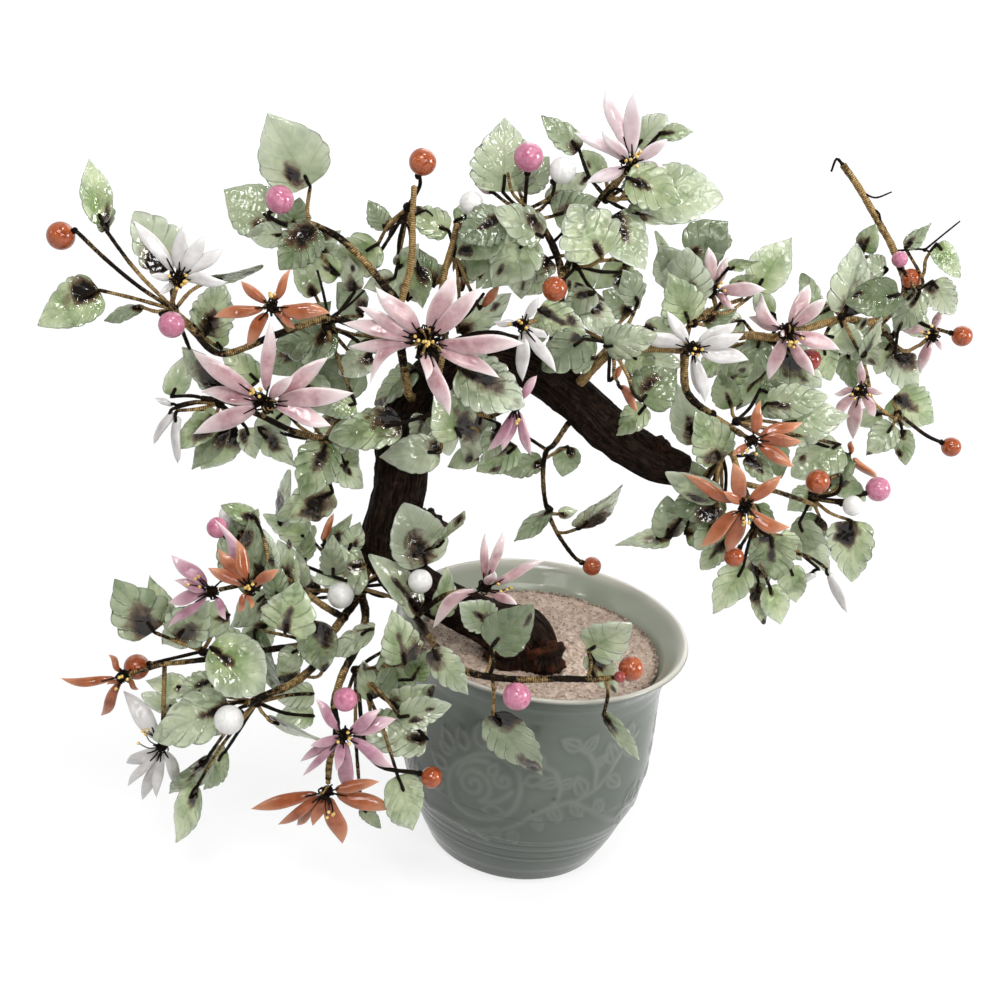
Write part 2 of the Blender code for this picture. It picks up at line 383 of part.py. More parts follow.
def rod(points, radii, resolution=0, grow=0.0):
    """Round bar along `points`: a bevelled curve with its end caps welded on."""
    curve = bpy.data.curves.new("rod", "CURVE")
    curve.dimensions = "3D"
    curve.bevel_depth = 1.0
    curve.bevel_resolution = resolution
    curve.use_fill_caps = True
    spline = curve.splines.new("POLY")
    spline.points.add(len(points) - 1)
    places = list(points)
    places[0] = points[0] + (points[0] - points[1]).normalized() * grow
    places[-1] = points[-1] + (points[-1] - points[-2]).normalized() * grow
    for knot, place, radius in zip(spline.points, places, radii):
        knot.co = (*place, 1.0)
        knot.radius = radius + grow
    bar = bpy.data.objects.new("rod", curve)
    made = bmesh.new()
    made.from_mesh(bar.to_mesh())
    bar.to_mesh_clear()
    bpy.data.objects.remove(bar)
    bpy.data.curves.remove(curve)
    bmesh.ops.remove_doubles(made, verts=made.verts, dist=WELD)
    return taken(made)


def ball(centre, radius, around=8, rows=6, grow=0.0):
    """Faceted ball."""
    made = bmesh.new()
    bmesh.ops.create_uvsphere(made, u_segments=around, v_segments=rows, radius=radius + grow,
                              matrix=Matrix.Translation(centre))
    return taken(made)


class Blade:
    """A leaf or a petal: a thin pointed plate from `base` to `tip`."""

    def __init__(self, kind, base, tip, width, face, arch=0.0, sway=0.0, hue="leaf"):
        self.kind, self.base, self.tip = kind, base, tip
        self.width, self.arch, self.sway, self.hue = width, arch, sway, hue
        self.way = (tip - base).normalized()
        self.face = across(self.way, face)
        self.side = self.way.cross(self.face)
        self.length = (tip - base).length

    def at(self, t, across_by=0.0, lift=0.0):
        """Point a share t along the blade, offset sideways and off its face."""
        bend = math.sin(math.pi * t)
        point = self.base.lerp(self.tip, t)
        point = point + self.face * (self.arch * self.length * bend + lift)
        return point + self.side * (self.sway * self.length * bend + across_by)

    def rings(self, grow=0.0):
        """Two three-cornered sections: both edges and the keel behind them."""
        thick = (LEAF_THICKNESS if self.kind == "leaf" else PETAL_THICKNESS) + grow
        stops = ((0.26, 0.44), (0.70, 0.44)) if self.kind == "leaf" else ((0.32, 0.46), (0.7, 0.41))
        rows = []
        for t, share in stops:
            half = share * self.width + grow
            rows.append([self.at(t, half, grow), self.at(t, -half, grow), self.at(t, 0.0, -thick)])
        return rows

    def mesh(self, grow=0.0):
        """Closed faceted blade: vertices and faces."""
        first, second = self.rings(grow)
        verts = [self.base - self.way * grow] + first + second + [self.tip + self.way * grow]
        faces = []
        for k in range(3):
            n = (k + 1) % 3
            faces += [(0, 1 + k, 1 + n), (1 + k, 4 + k, 4 + n, 1 + n), (4 + k, 7, 4 + n)]
        return verts, faces


class Crowd:
    """Everything placed so far, so that later pieces keep clear of it."""

    def __init__(self):
        self.items = []

    def add(self, node, mesh, kind):
        verts, faces = mesh
        low = [min(v[i] for v in verts) for i in range(3)]
        high = [max(v[i] for v in verts) for i in range(3)]
        self.items.append((node, kind, low, high, BVHTree.FromPolygons(verts, faces)))

    def hits(self, node, mesh, own=()):
        """Nodes touched by `mesh`; in its own node only the kinds in `own` count."""
        verts, faces = mesh
        low = [min(v[i] for v in verts) for i in range(3)]
        high = [max(v[i] for v in verts) for i in range(3)]
        if low[2] < 4.0:
            return ["floor"]
        tree = None
        for name, kind, floor, roof, other in self.items:
            if name == node and kind not in own:
                continue
            if any(low[i] > roof[i] or high[i] < floor[i] for i in range(3)):
                continue
            tree = tree or BVHTree.FromPolygons(verts, faces)
            if tree.overlap(other):
                return [name + "/" + kind]
        return []


class Layout:
    """Places every wire, flower, bead and leaf and keeps them apart."""

    def __init__(self, solids):
        self.crowd = Crowd()
        self.shapes = {}
        self.dropped = []
        self.wires = {}
        self.arms = {}
        for node, mesh in solids:
            self.crowd.add(node, mesh, "solid")
        self.trunk = next(item[4] for item in self.crowd.items if item[0] == "trunk")
        for node, wires in list(BOUGHS.items()) + list(SPRAY_WIRES.items()):
            self.place_wires(node, wires)
        for node, flower in FLOWERS.items():
            self.place_flower(node, *flower)
        for node, spray in SPRAYS.items():
            self.place_spray(node, *spray)

    def keep(self, node, shape, kind):
        self.shapes.setdefault(node, []).append(shape)
        self.crowd.add(node, shape_mesh(shape), kind)

    def keep_arm(self, node, stalk, end, kind):
        """A bead or a leaf of a spray together with its thin wire."""
        self.arms.setdefault(node, []).append((stalk, end))
        self.crowd.add(node, shape_mesh(stalk), "petiole")
        self.crowd.add(node, shape_mesh(end), kind)

    def place_wires(self, node, wires):
        for index, (radius, path) in enumerate(wires):
            line = [spot(*p) for p in path]
            for seat in (SEAT_GAP, SEAT_GAP + 0.15, SEAT_GAP + 0.3, SEAT_GAP + 0.5):
                if index == 0:
                    point, normal = self.trunk.find_nearest(line[0])[:2]
                    points = [point + normal * seat, point + normal * (seat + 1.6 * radius)] + line[1:]
                else:
                    points = [self.nearest(node, line[0])[0]] + line[1:]
                last = len(points) - 1
                radii = [radius * (1.0 - 0.3 * i / last) for i in range(last + 1)]
                shape = ("wire", points, radii)
                hit = self.crowd.hits(node, shape_mesh(shape, 0.2))
                if not hit:
                    break
            if hit:
                self.dropped.append((node, "wire", index, hit))
            self.wires.setdefault(node, []).append((points, radii))
            self.keep(node, shape, "wire")

    def nearest(self, node, target):
        """Closest point on the node's wires: point, wire direction, radius."""
        best = None
        for points, radii in self.wires[node]:
            for i in range(len(points) - 1):
                span = points[i + 1] - points[i]
                share = (target - points[i]).dot(span) / span.length_squared
                share = min(max(share, 0.0), 1.0)
                point = points[i] + span * share
                radius = radii[i] + (radii[i + 1] - radii[i]) * share
                away = (point - target).length
                if best is None or away < best[0]:
                    best = (away, point, span.normalized(), radius)
        return best[1:]

    def reach(self, node, start, end, radius, trim):
        """A thin wire from start to end that keeps clear; None if there is none."""
        span = end - start
        way = span.normalized()
        end = end - way * trim
        side = across(way, VIEWPOINT - start)
        other = way.cross(side)
        for bulge in BULGES:
            for k in range(1 if bulge == 0.0 else 8):
                angle = math.pi * k / 4.0
                middle = start.lerp(end, 0.5)
                middle = middle + (side * math.cos(angle) + other * math.sin(angle)) * bulge
                points = [start, end] if bulge == 0.0 else [start, middle, end]
                shape = ("wire", points, [radius] * len(points))
                if not self.crowd.hits(node, shape_mesh(shape, 0.3)):
                    return shape
        return None

    def place_flower(self, node, hue, bough, hub, petals):
        for shift in SHIFTS:
            centre = spot(hub[0], hub[1], hub[2] + shift)
            shape = ("ball", centre, HUB_RADIUS, 6, 3, hue)
            if self.crowd.hits(node, shape_mesh(shape, CLEARANCE)):
                continue
            root = self.nearest(bough, centre)[0]
            stem = self.reach(bough, root, centre, 1.0, HUB_RADIUS + SEAT_GAP)
            if stem:
                break
        else:
            self.dropped.append((node, "hub"))
            return
        self.keep(bough, stem, "wire")
        self.keep(node, shape, "hub")
        for index, petal in enumerate(petals):
            self.place_petal(node, hue, hub, shift, centre, index, petal)

    def place_petal(self, node, hue, hub, shift, centre, index, petal):
        x, z, width = petal[:3]
        out = (petal[3] if len(petal) > 3 else 0.0) + hub[2] + shift
        sway = petal[4] if len(petal) > 4 else 0.0
        scale = nearness(x, z, out)
        for extra in SHIFTS:
            tip = spot(x, z, out + extra)
            way = (tip - centre).normalized()
            face = VIEWPOINT - centre
            roll = ROLLS[index % len(ROLLS)]
            face = across(way, face)
            face = face * math.cos(roll) + way.cross(face) * math.sin(roll)
            blade = Blade("petal", centre + way * 0.8, tip, width * scale * PETAL_SLIMNESS, face,
                          arch=0.07, sway=sway, hue=hue)
            if not self.crowd.hits(node, blade.mesh(CLEARANCE)):
                self.keep(node, ("blade", blade), "petal")
                return
        self.dropped.append((node, "petal", index))

    def place_knot(self, node, bough, near, leaves):
        """Knot of a spray: a small ball beside the bough's wire."""
        anchor, way, radius = self.nearest(bough, spot(*near))
        middle = sum((spot(l[0], l[1], near[2] + l[5]) for l in leaves), Vector()) / len(leaves)
        side = across(way, middle - anchor)
        other = way.cross(side)
        for slide in (0.0, 3.0, -3.0, 6.0, -6.0):
            for k in (0, 1, -1, 2, -2, 3, -3, 4):
                angle = math.pi * k / 4.0
                direction = side * math.cos(angle) + other * math.sin(angle)
                centre = anchor + way * slide + direction * (radius + SEAT_GAP + KNOT_RADIUS)
                shape = ("ball", centre, KNOT_RADIUS, 5, 3, "knot")
                gap = (self.nearest(bough, centre)[0] - centre).length - radius - KNOT_RADIUS
                if gap < SEAT_GAP - 0.05 or gap > 1.2:
                    continue
                if not self.crowd.hits(node, shape_mesh(shape, 0.15)):
                    return shape
        return None

    def place_spray(self, node, bough, near, leaves, beads, odd):
        knot = None
        if bough:
            knot = self.place_knot(node, bough, near, leaves)
            if knot is None:
                self.dropped.append((node, "knot"))
                return
            self.keep(node, knot, "knot")
        for index, bead in enumerate(beads):
            self.place_bead(node, knot, index, *bead)
        for index, (hue, x0, z0, x1, z1, width, out) in enumerate(odd):
            self.place_blade(node, knot, "petal", hue, index, (x0, z0, x1, z1, width, out), near[2])
        for index, leaf in enumerate(leaves):
            self.place_blade(node, knot, "leaf", "leaf", index, leaf, near[2])

    def root(self, node, knot, target):
        """Where a thin wire to `target` starts: on the knot or on the spray's wires."""
        if knot:
            return knot[1] + (target - knot[1]).normalized() * KNOT_RADIUS * 0.45
        return self.nearest(node, target)[0]

    def place_bead(self, node, knot, index, hue, x, z, out, size, ways):
        for shift in SHIFTS:
            centre = spot(x, z, out + shift)
            radius = size * 0.5 * nearness(x, z, out + shift)
            shape = ("ball", centre, radius, 7, 5, hue)
            if self.crowd.hits(node, shape_mesh(shape, CLEARANCE), ("bead",)):
                continue
            stem = self.bead_stem(node, knot, centre, radius, ways)
            if stem:
                break
        else:
            self.dropped.append((node, "bead", index))
            return
        self.keep_arm(node, stem, shape, "bead")

    def bead_stem(self, node, knot, centre, radius, ways):
        if not ways:
            return self.reach(node, self.root(node, knot, centre), centre, 0.8, radius * 0.4)
        points = [self.root(node, knot, centre)] + [spot(*w) for w in ways]
        points.append(centre + (points[-1] - centre).normalized() * radius * 0.4)
        shape = ("wire", points, [0.9] * len(points))
        return None if self.crowd.hits(node, shape_mesh(shape, 0.3)) else shape

    def place_blade(self, node, knot, kind, hue, index, leaf, level):
        x0, z0, x1, z1, width, out = leaf
        out = out + level
        for shift in SHIFTS:
            base = spot(x0, z0, out + shift)
            tip = spot(x1, z1, out + shift + TILTS[index % len(TILTS)])
            broad = width * nearness(x0, z0, out + shift)
            broad *= PETAL_SLIMNESS if kind == "petal" else 1.0
            length = (tip - base).length
            full = max(broad, 0.5 * length)
            roll = math.acos(min(broad / full, 1.0))
            for turn in (1.0, -1.0):
                way = (tip - base).normalized()
                face = across(way, VIEWPOINT - base)
                angle = turn * roll + ROLLS[index % len(ROLLS)]
                face = face * math.cos(angle) + way.cross(face) * math.sin(angle)
                blade = Blade(kind, base, tip, full, face, arch=0.04, hue=hue)
                if self.crowd.hits(node, blade.mesh(CLEARANCE), ("leaf", "bead", "petal")):
                    continue
                target = base
                stalk = self.reach(node, self.root(node, knot, target), target, PETIOLE_RADIUS, 0.0)
                if stalk:
                    self.keep_arm(node, stalk, ("blade", blade), kind)
                    return
        self.dropped.append((node, kind, index))


def shape_mesh(shape, grow=0.0):
    """Vertices and faces of a placed shape, made larger all round by `grow`."""
    if shape[0] == "wire":
        return rod(shape[1], shape[2], 0, grow)
    if shape[0] == "ball":
        return ball(shape[1], shape[2], shape[3], shape[4], grow)
    return shape[1].mesh(grow)


def turned(profile):
    """Body turned from (radius, height) pairs: a profile with a Screw modifier."""
    line = bpy.data.meshes.new("profile")
    corners = [(radius, 0.0, height) for radius, height in profile]
    line.from_pydata(corners, [(i, i + 1) for i in range(len(corners) - 1)], [])
    blank = bpy.data.objects.new("profile", line)
    bpy.context.scene.collection.objects.link(blank)
    screw = blank.modifiers.new("turn", "SCREW")
    screw.steps = screw.render_steps = SECTORS
    screw.use_merge_vertices = True
    screw.merge_threshold = WELD
    graph = bpy.context.evaluated_depsgraph_get()
    made = bmesh.new()
    made.from_mesh(blank.evaluated_get(graph).to_mesh())
    bpy.data.objects.remove(blank)
    bpy.data.meshes.remove(line)
    return taken(made)


def pot_mesh():
    return turned([(0.0, 0.0)] + POT_OUTSIDE + POT_INSIDE + [(0.0, POT_INSIDE[-1][1])])


def sand_mesh():
    return turned([(0.0, SAND_SIDE[0][1])] + SAND_SIDE + [(40.0, SAND_TOP), (20.0, SAND_TOP), (0.0, SAND_TOP)])


def trunk_mesh(grow=0.0):
    """Hewn trunk: eight flats along a bent centre line."""
    return rod([Vector(row[:3]) for row in TRUNK], [row[3] for row in TRUNK], TRUNK_ROUNDING, grow)


def ring(point, side, face, radius):
    """Three corners of a thin wire's section, in the order of a blade's corners."""
    return [point - face * radius, point + (face * 0.5 - side * 0.866) * radius,
            point + (face * 0.5 + side * 0.866) * radius]


def bridge(faces, low, high):
    """Faces between two rings of corner numbers."""
    i = j = 0
    while i < len(low) or j < len(high):
        a, b = low[i % len(low)], high[j % len(high)]
        if (i + 1) * len(high) <= (j + 1) * len(low) and i < len(low):
            faces.append((a, low[(i + 1) % len(low)], b))
            i += 1
        else:
            faces.append((a, high[(j + 1) % len(high)], b))
            j += 1


def bead_rings(centre, radius, way, side, face):
    rows = []
    for polar in (0.25, 0.5, 0.75):
        height, wide = -math.cos(math.pi * polar) * radius, math.sin(math.pi * polar) * radius
        turns = [2.0 * math.pi * k / 7.0 for k in range(7)]
        rows.append([centre + way * height - (face * math.cos(a) + side * math.sin(a)) * wide
                     for a in turns])
    return rows


def arm_meshes(stalk, end):
    """Closed bodies of a thin wire and what it carries: one where they run on smoothly."""
    points = stalk[1]
    if end[0] == "ball" or (points[-1] - points[-2]).normalized().dot(end[1].way) > -0.1:
        return [arm_mesh(stalk, end)]
    longer = ("wire", points[:-1] + [points[-1] + end[1].way * 1.2], stalk[2])
    return [shape_mesh(longer), end[1].mesh()]


def arm_mesh(stalk, end):
    """One closed skin over a thin wire and the leaf or bead at its end."""
    points, radius = list(stalk[1]), stalk[2][0]
    if end[0] == "ball":
        way = (end[1] - points[-1]).normalized()
        side = way.orthogonal().normalized()
        face = side.cross(way)
        points[-1] = end[1] - way * end[2] * 0.95
        rows, tip = bead_rings(end[1], end[2], way, side, face), end[1] + way * end[2]
    else:
        way, side, face = end[1].way, end[1].side, end[1].face
        rows, tip = [row[::-1] for row in end[1].rings()], end[1].tip
    loops = []
    for i in range(len(points) - 1, -1, -1):
        ahead = (points[i + 1] - points[i]).normalized() if i + 1 < len(points) else way
        behind = (points[i] - points[i - 1]).normalized() if i else ahead
        heading = (ahead + behind).normalized()
        face = across(heading, face)
        side = heading.cross(face)
        loops.insert(0, ring(points[i], side, face, radius))
    loops += rows
    verts = [corner for loop in loops for corner in loop] + [tip]
    numbers, start = [], 0
    for loop in loops:
        numbers.append(list(range(start, start + len(loop))))
        start += len(loop)
    faces = [tuple(numbers[0][::-1])]
    for low, high in zip(numbers, numbers[1:]):
        bridge(faces, low, high)
    last = numbers[-1]
    faces += [(last[k], last[(k + 1) % len(last)], start) for k in range(len(last))]
    return verts, faces


def new_object(name, mesh, collection, scale=MM):
    """Blender object from vertices and faces in millimetres."""
    verts, faces = mesh
    data = bpy.data.meshes.new(name)
    data.from_pydata([tuple(v * scale) for v in verts], [], [tuple(f) for f in faces])
    data.validate()
    made = bmesh.new()
    made.from_mesh(data)
    bmesh.ops.recalc_face_normals(made, faces=made.faces)
    bmesh.ops.triangulate(made, faces=made.faces)
    made.to_mesh(data)
    made.free()
    thing = bpy.data.objects.new(name, data)
    collection.objects.link(thing)
    return thing


def material(name, colour, roughness):
    mat = bpy.data.materials.new(name)
    mat.use_nodes = True
    shader = mat.node_tree.nodes["Principled BSDF"]
    shader.inputs["Base Color"].default_value = (*colour, 1.0)
    shader.inputs["Roughness"].default_value = roughness
    mat.diffuse_color = (*colour, 1.0)
    return mat


def boolean(name, first, others, operation, collection):
    """First mesh with the others joined to it or cut from it, as one object."""
    bench = bpy.data.collections.new(name + "_bench")
    bpy.context.scene.collection.children.link(bench)
    body = new_object(name, first, collection, 1.0)
    for index, mesh in enumerate(others):
        new_object("%s_piece_%02d" % (name, index), mesh, bench, 1.0)
    modifier = body.modifiers.new("combine", "BOOLEAN")
    modifier.operation = operation
    modifier.operand_type = "COLLECTION"
    modifier.collection = bench
    modifier.solver = "EXACT"
    graph = bpy.context.evaluated_depsgraph_get()
    result = bpy.data.meshes.new_from_object(body.evaluated_get(graph))
    bpy.data.objects.remove(body)
    for piece in list(bench.objects):
        bpy.data.objects.remove(piece)
    bpy.data.collections.remove(bench)
    tidy(result)
    result.name = name
    thing = bpy.data.objects.new(name, result)
    collection.objects.link(thing)
    return thing


def tidy(mesh):
    """Weld stray doubles, triangulate and bring the mesh to metres."""
    made = bmesh.new()
    made.from_mesh(mesh)
    bmesh.ops.remove_doubles(made, verts=made.verts, dist=WELD)
    bmesh.ops.dissolve_limit(made, angle_limit=0.04, verts=made.verts, edges=made.edges)
    bmesh.ops.triangulate(made, faces=made.faces)
    bmesh.ops.scale(made, vec=(MM, MM, MM), verts=made.verts)
    bmesh.ops.recalc_face_normals(made, faces=made.faces)
    made.to_mesh(mesh)
    made.free()


PAINTS = {
    "pot": ((0.30, 0.36, 0.33), 0.18), "sand_bed": ((0.62, 0.52, 0.44), 0.9),
    "trunk": ((0.028, 0.018, 0.014), 0.6), "bough": ((0.09, 0.05, 0.02), 0.7),
    "spray": ((0.48, 0.58, 0.36), 0.15), "pink": ((0.70, 0.36, 0.45), 0.12),
    "orange": ((0.62, 0.20, 0.08), 0.12), "white": ((0.85, 0.83, 0.80), 0.12),
    "blush": ((0.82, 0.60, 0.64), 0.12),
}


def paint(thing, kind):
    colour, roughness = PAINTS[kind]
    thing.data.materials.clear()
    thing.data.materials.append(material(thing.name + "_surface", colour, roughness))


def build():
    for old in list(bpy.data.objects):
        bpy.data.objects.remove(old)
    group = bpy.data.collections.new("jade_bonsai")
    bpy.context.scene.collection.children.link(group)
    lumps = [ball(Vector(centre), radius, 7, 5) for centre, radius in TRUNK_LUMPS]
    solids = [("trunk", trunk_mesh()), ("pot", pot_mesh()), ("sand_bed", sand_mesh())]
    solids += [("trunk", lump) for lump in lumps]
    layout = Layout(solids)
    paint(new_object("pot", pot_mesh(), group), "pot")
    paint(boolean("trunk", trunk_mesh(), lumps, "UNION", group), "trunk")
    sockets = [trunk_mesh(0.35)]
    sockets += [ball(Vector(centre), radius + 0.35, 7, 5) for centre, radius in TRUNK_LUMPS]
    paint(boolean("sand_bed", sand_mesh(), sockets, "DIFFERENCE", group), "sand_bed")
    for node, shapes in layout.shapes.items():
        meshes = [shape_mesh(shape) for shape in shapes]
        for arm in layout.arms.get(node, []):
            meshes += arm_meshes(*arm)
        thing = boolean(node, meshes[0], meshes[1:], "UNION", group)
        hue = FLOWERS[node][0] if node in FLOWERS else node.split("_")[0]
        paint(thing, hue)
    return layout


LAYOUT = build()
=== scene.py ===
"""Looks of the ornamental glass tree in its celadon pot.

The wires, flowers, beads and leaves are set out by the same rules and the same
named values as the solid model, so each fine piece lies in its plain solid.
"""

import math

import bmesh
import bpy
import numpy as np
from mathutils import Matrix, Vector, noise
from mathutils.bvhtree import BVHTree


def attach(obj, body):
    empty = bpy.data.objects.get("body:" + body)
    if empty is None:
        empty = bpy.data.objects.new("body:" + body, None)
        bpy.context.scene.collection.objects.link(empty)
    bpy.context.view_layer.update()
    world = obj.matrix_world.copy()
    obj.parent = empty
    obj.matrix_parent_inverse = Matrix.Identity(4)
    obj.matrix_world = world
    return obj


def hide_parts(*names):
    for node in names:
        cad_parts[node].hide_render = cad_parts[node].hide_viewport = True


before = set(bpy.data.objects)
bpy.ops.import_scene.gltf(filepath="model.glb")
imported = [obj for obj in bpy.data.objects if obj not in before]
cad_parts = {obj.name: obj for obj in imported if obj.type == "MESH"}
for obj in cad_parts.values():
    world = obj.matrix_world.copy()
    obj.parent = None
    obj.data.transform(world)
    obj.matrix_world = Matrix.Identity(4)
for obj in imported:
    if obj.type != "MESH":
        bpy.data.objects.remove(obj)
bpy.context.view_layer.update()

# -------------------------------------------------------- pot and trunk ---
# Millimetres: outside and inside of the pot as radius, height from the foot.
POT_OUTSIDE = [(36.0, 0.0), (38.6, 1.2), (42.0, 4.0), (45.6, 11.3), (49.7, 20.0), (49.4, 21.0),
               (54.9, 33.8), (57.5, 47.3), (57.7, 62.0), (57.0, 88.0), (57.8, 97.0),
               (60.4, 105.0), (64.6, 110.6), (66.3, 112.3), (65.6, 113.4), (63.9, 113.2)]
POT_INSIDE = [(60.6, 109.6), (56.6, 104.6), (53.6, 97.6), (52.8, 80.0), (51.6, 44.0),
              (44.0, 18.0), (34.0, 6.5)]
SAND_SIDE = [(33.5, 6.9), (43.5, 18.2), (51.1, 44.1), (52.3, 80.0), (53.1, 97.6), (54.4, 100.6)]
SAND_TOP = 101.6
SECTORS = 30
WELD = 0.0005
MM = 0.001

# Trunk: centre line x, y, z and radius, from the root peg to the sawn limb end.
TRUNK = [
    (-5, -13, 93, 8.0), (-5, -13, 104, 12.0), (-10, -12, 112, 12.5), (-28, -9, 117, 10.0),
    (-50, -5, 123, 9.5), (-65, -3, 132, 10.5), (-72, -2, 145, 12.0), (-71, -2, 163, 11.5),
    (-70, -2, 182, 11.0), (-70, -1, 200, 10.5), (-65, 0, 216, 9.8), (-54, 2, 229, 9.0),
    (-38, 3, 236, 8.8), (-20, 4, 232, 9.0), (-2, 5, 222, 9.2), (13, 6, 210, 9.4),
    (27, 7, 201, 9.2), (40, 8, 195, 8.4), (53, 8, 192, 6.8)]
TRUNK_LUMPS = [((-57, -4, 156), 8.0), ((2, -20, 108), 8.5), ((-16, -20, 106), 8.0),
               ((40, 6, 203), 4.4), ((-80, -4, 141), 6.0)]
TRUNK_ROUNDING = 2

# ---------------------------------------------------------------- layout ---
# The tree is set out in millimetres on an upright board through the middle of
# the pot, seen from VIEWPOINT: x to the right, z up, and `out` brings a point
# off the board towards the viewer.  All wires, flowers and sprays are placed
# this way, so the crown keeps its look from the front whatever its depth.
VIEWPOINT = Vector((-26.0, -575.0, 420.0))

# Gaps under a seated wire or hub, round each kind of piece, and to the floor.
SEAT_GAP = 0.3
SEATS = (SEAT_GAP, SEAT_GAP + 0.15, SEAT_GAP + 0.3, SEAT_GAP + 0.5)
CLEARANCE = 0.35
STEM_CLEARANCE = 0.3
WIRE_CLEARANCE = 0.2
KNOT_CLEARANCE = 0.15
KNOT_GAPS = (SEAT_GAP - 0.05, 1.2)
FLOOR_CLEARANCE = 4.0

# Thicknesses, and how far a thin wire reaches into its knot or its bead.
KNOT_RADIUS, KNOT_DEPTH = 2.0, 0.45
HUB_RADIUS, HUB_STEM = 2.6, 1.0
PETIOLE_RADIUS = 0.6
BEAD_STEM, BENT_BEAD_STEM, BEAD_DEPTH = 0.8, 0.9, 0.4
WIRE_TAPER, SEAT_RISE = 0.3, 1.6
# Points around and rows of a bead or a lump, of a hub and of a knot.
BALL, HUB_BALL, KNOT_BALL = (7, 5), (6, 3), (5, 3)
LEAF_THICKNESS, LEAF_ARCH = 1.7, 0.04
PETAL_THICKNESS, PETAL_ARCH, PETAL_SLIMNESS, PETAL_FOOT = 2.0, 0.07, 0.78, 0.8

# Places that are tried in turn: steps off the board, turns of a blade, bends
# of a thin wire, and steps along and around a bough for a knot.
SHIFTS = (0, 3, -3, 6, -6, 9, -9, 12, -12, 16, -16, 20, -20, 25, -25, 30, -30)
ROLLS = (0.16, -0.22, 0.3, -0.12, 0.24, -0.3)
TILTS = (-4.0, 3.0, 5.0, -2.0, 4.0, -5.0, 1.0)
BULGES = (0.0, 2.5, 5.0, 8.0, 12.0)
KNOT_SLIDES = (0.0, 3.0, -3.0, 6.0, -6.0)
KNOT_TURNS = (0, 1, -1, 2, -2, 3, -3, 4)

# Boughs: each is a set of wires; a wire is (radius, [(x, z, out), ...]).
# The first wire starts on the trunk and the others start on an earlier wire.
BOUGHS = {
    "bough_left": [
        (1.9, [(-70, 214, 13), (-75, 235, 15), (-77, 252, 16), (-84, 260, 16), (-93, 269, 15),
               (-103, 277, 14), (-113, 281, 12), (-119, 282, 11)]),
        (1.6, [(-77, 252, 16), (-74, 270, 16), (-75, 290, 16), (-75.5, 302, 15)]),
        (1.7, [(-75, 235, 15), (-90, 240, 16), (-106, 243, 18), (-128, 233, 20), (-150, 222, 24),
               (-163, 231, 26), (-172, 240, 28)]),
        (0.6, [(-74, 282, 16), (-78, 287, 17), (-83, 284, 18), (-84, 279, 18)]),
        (0.6, [(-75, 290, 16), (-70, 293, 18), (-67, 291, 18)]),
        (0.7, [(-106, 243, 18), (-109, 254, 19), (-112, 263, 19)]),
        (0.7, [(-106, 243, 18), (-98, 250, 17), (-92, 257, 16)])],
    "bough_side": [
        (1.6, [(-81, 199, 3), (-90, 196, 14), (-102, 190, 22), (-117, 191, 28), (-131, 196, 28),
               (-146, 201, 26), (-158, 201, 28)])],
    "bough_mid": [
        (1.7, [(-57, 240, 4), (-60, 252, 4), (-60, 268, 4), (-58, 280, 4), (-57, 289, 4)]),
        (1.3, [(-58, 243, 4), (-57, 236, 16), (-58, 222, 20), (-57, 213, 21), (-46, 210, 21),
               (-34, 209, 20)]),
        (0.9, [(-59, 247, 4), (-50, 251, 4), (-43, 262, 3)])],
    "bough_top": [
        (2.0, [(-12, 239, 4), (-12, 255, 5), (-12, 272, 5), (-18, 286, 6), (-28, 298, 8)]),
        (1.3, [(-12, 270, 5), (-8, 289, 4), (-2, 305, 4), (3, 313, 4)]),
        (0.7, [(-2, 305, 4), (5, 311, 5), (12, 306, 6), (18, 309, 6)]),
        (0.7, [(-18, 286, 6), (-12, 293, 9), (-7, 292, 10)]),
        (0.8, [(-28, 298, 8), (-36, 304, 8), (-39, 312, 8)])],
    "bough_right": [
        (2.1, [(6, 235, 6), (12, 243, 6), (30, 248, 3), (42, 249, -3), (54, 254, -13),
               (66, 258, -20), (80, 259, -28), (92, 265, -36), (104, 270, -42), (117, 271, -50),
               (126, 284, -55), (118, 300, -56), (110, 310, -56), (99, 323, -56), (91, 331, -56)]),
        (1.3, [(42, 249, -3), (43, 261, -8), (52, 268, -12), (62, 273, -17)]),
        (1.9, [(42, 249, -3), (46, 231, -4), (58, 222, -7), (72, 215, -12)]),
        (1.6, [(58, 222, -7), (69, 207, -8), (76, 193, -8), (84, 181, -9), (90, 173, -10)]),
        (1.3, [(76, 193, -8), (92, 191, -14), (110, 187, -22)]),
        (1.2, [(117, 271, -50), (130, 260, -54), (137, 263, -57)]),
        (1.1, [(117, 271, -50), (115, 257, -52), (120, 244, -54), (124, 236, -52),
               (138, 228, -52)]),
        (0.7, [(91, 331, -56), (88, 333, -56), (87, 328, -55)]),
        (0.6, [(118, 300, -56), (130, 302, -57), (141, 297, -57)]),
        (0.5, [(130, 302, -57), (135, 308, -58), (141, 315, -58)]),
        (0.5, [(100, 322, -56), (106, 320, -55), (112, 323, -55)]),
        (0.5, [(105, 316, -56), (109, 314, -55), (111, 308, -55)])],
    "bough_low": [
        (2.2, [(-82, 128, 8), (-83, 118, 16), (-90, 104, 30), (-97, 90, 42), (-101, 78, 54),
               (-110, 67, 66), (-120, 60, 76), (-132, 52, 82)]),
        (1.6, [(-90, 104, 30), (-100, 109, 45), (-118, 120, 62), (-127, 118, 72)]),
        (1.5, [(-97, 90, 42), (-118, 84, 58), (-140, 77, 68), (-156, 72, 72), (-171, 68, 74)]),
        (1.9, [(-83, 118, 16), (-80, 106, 30), (-82, 92, 50), (-88, 75, 68), (-91, 58, 80),
               (-89, 44, 88), (-91, 26, 92), (-91, 16, 94)])],
}

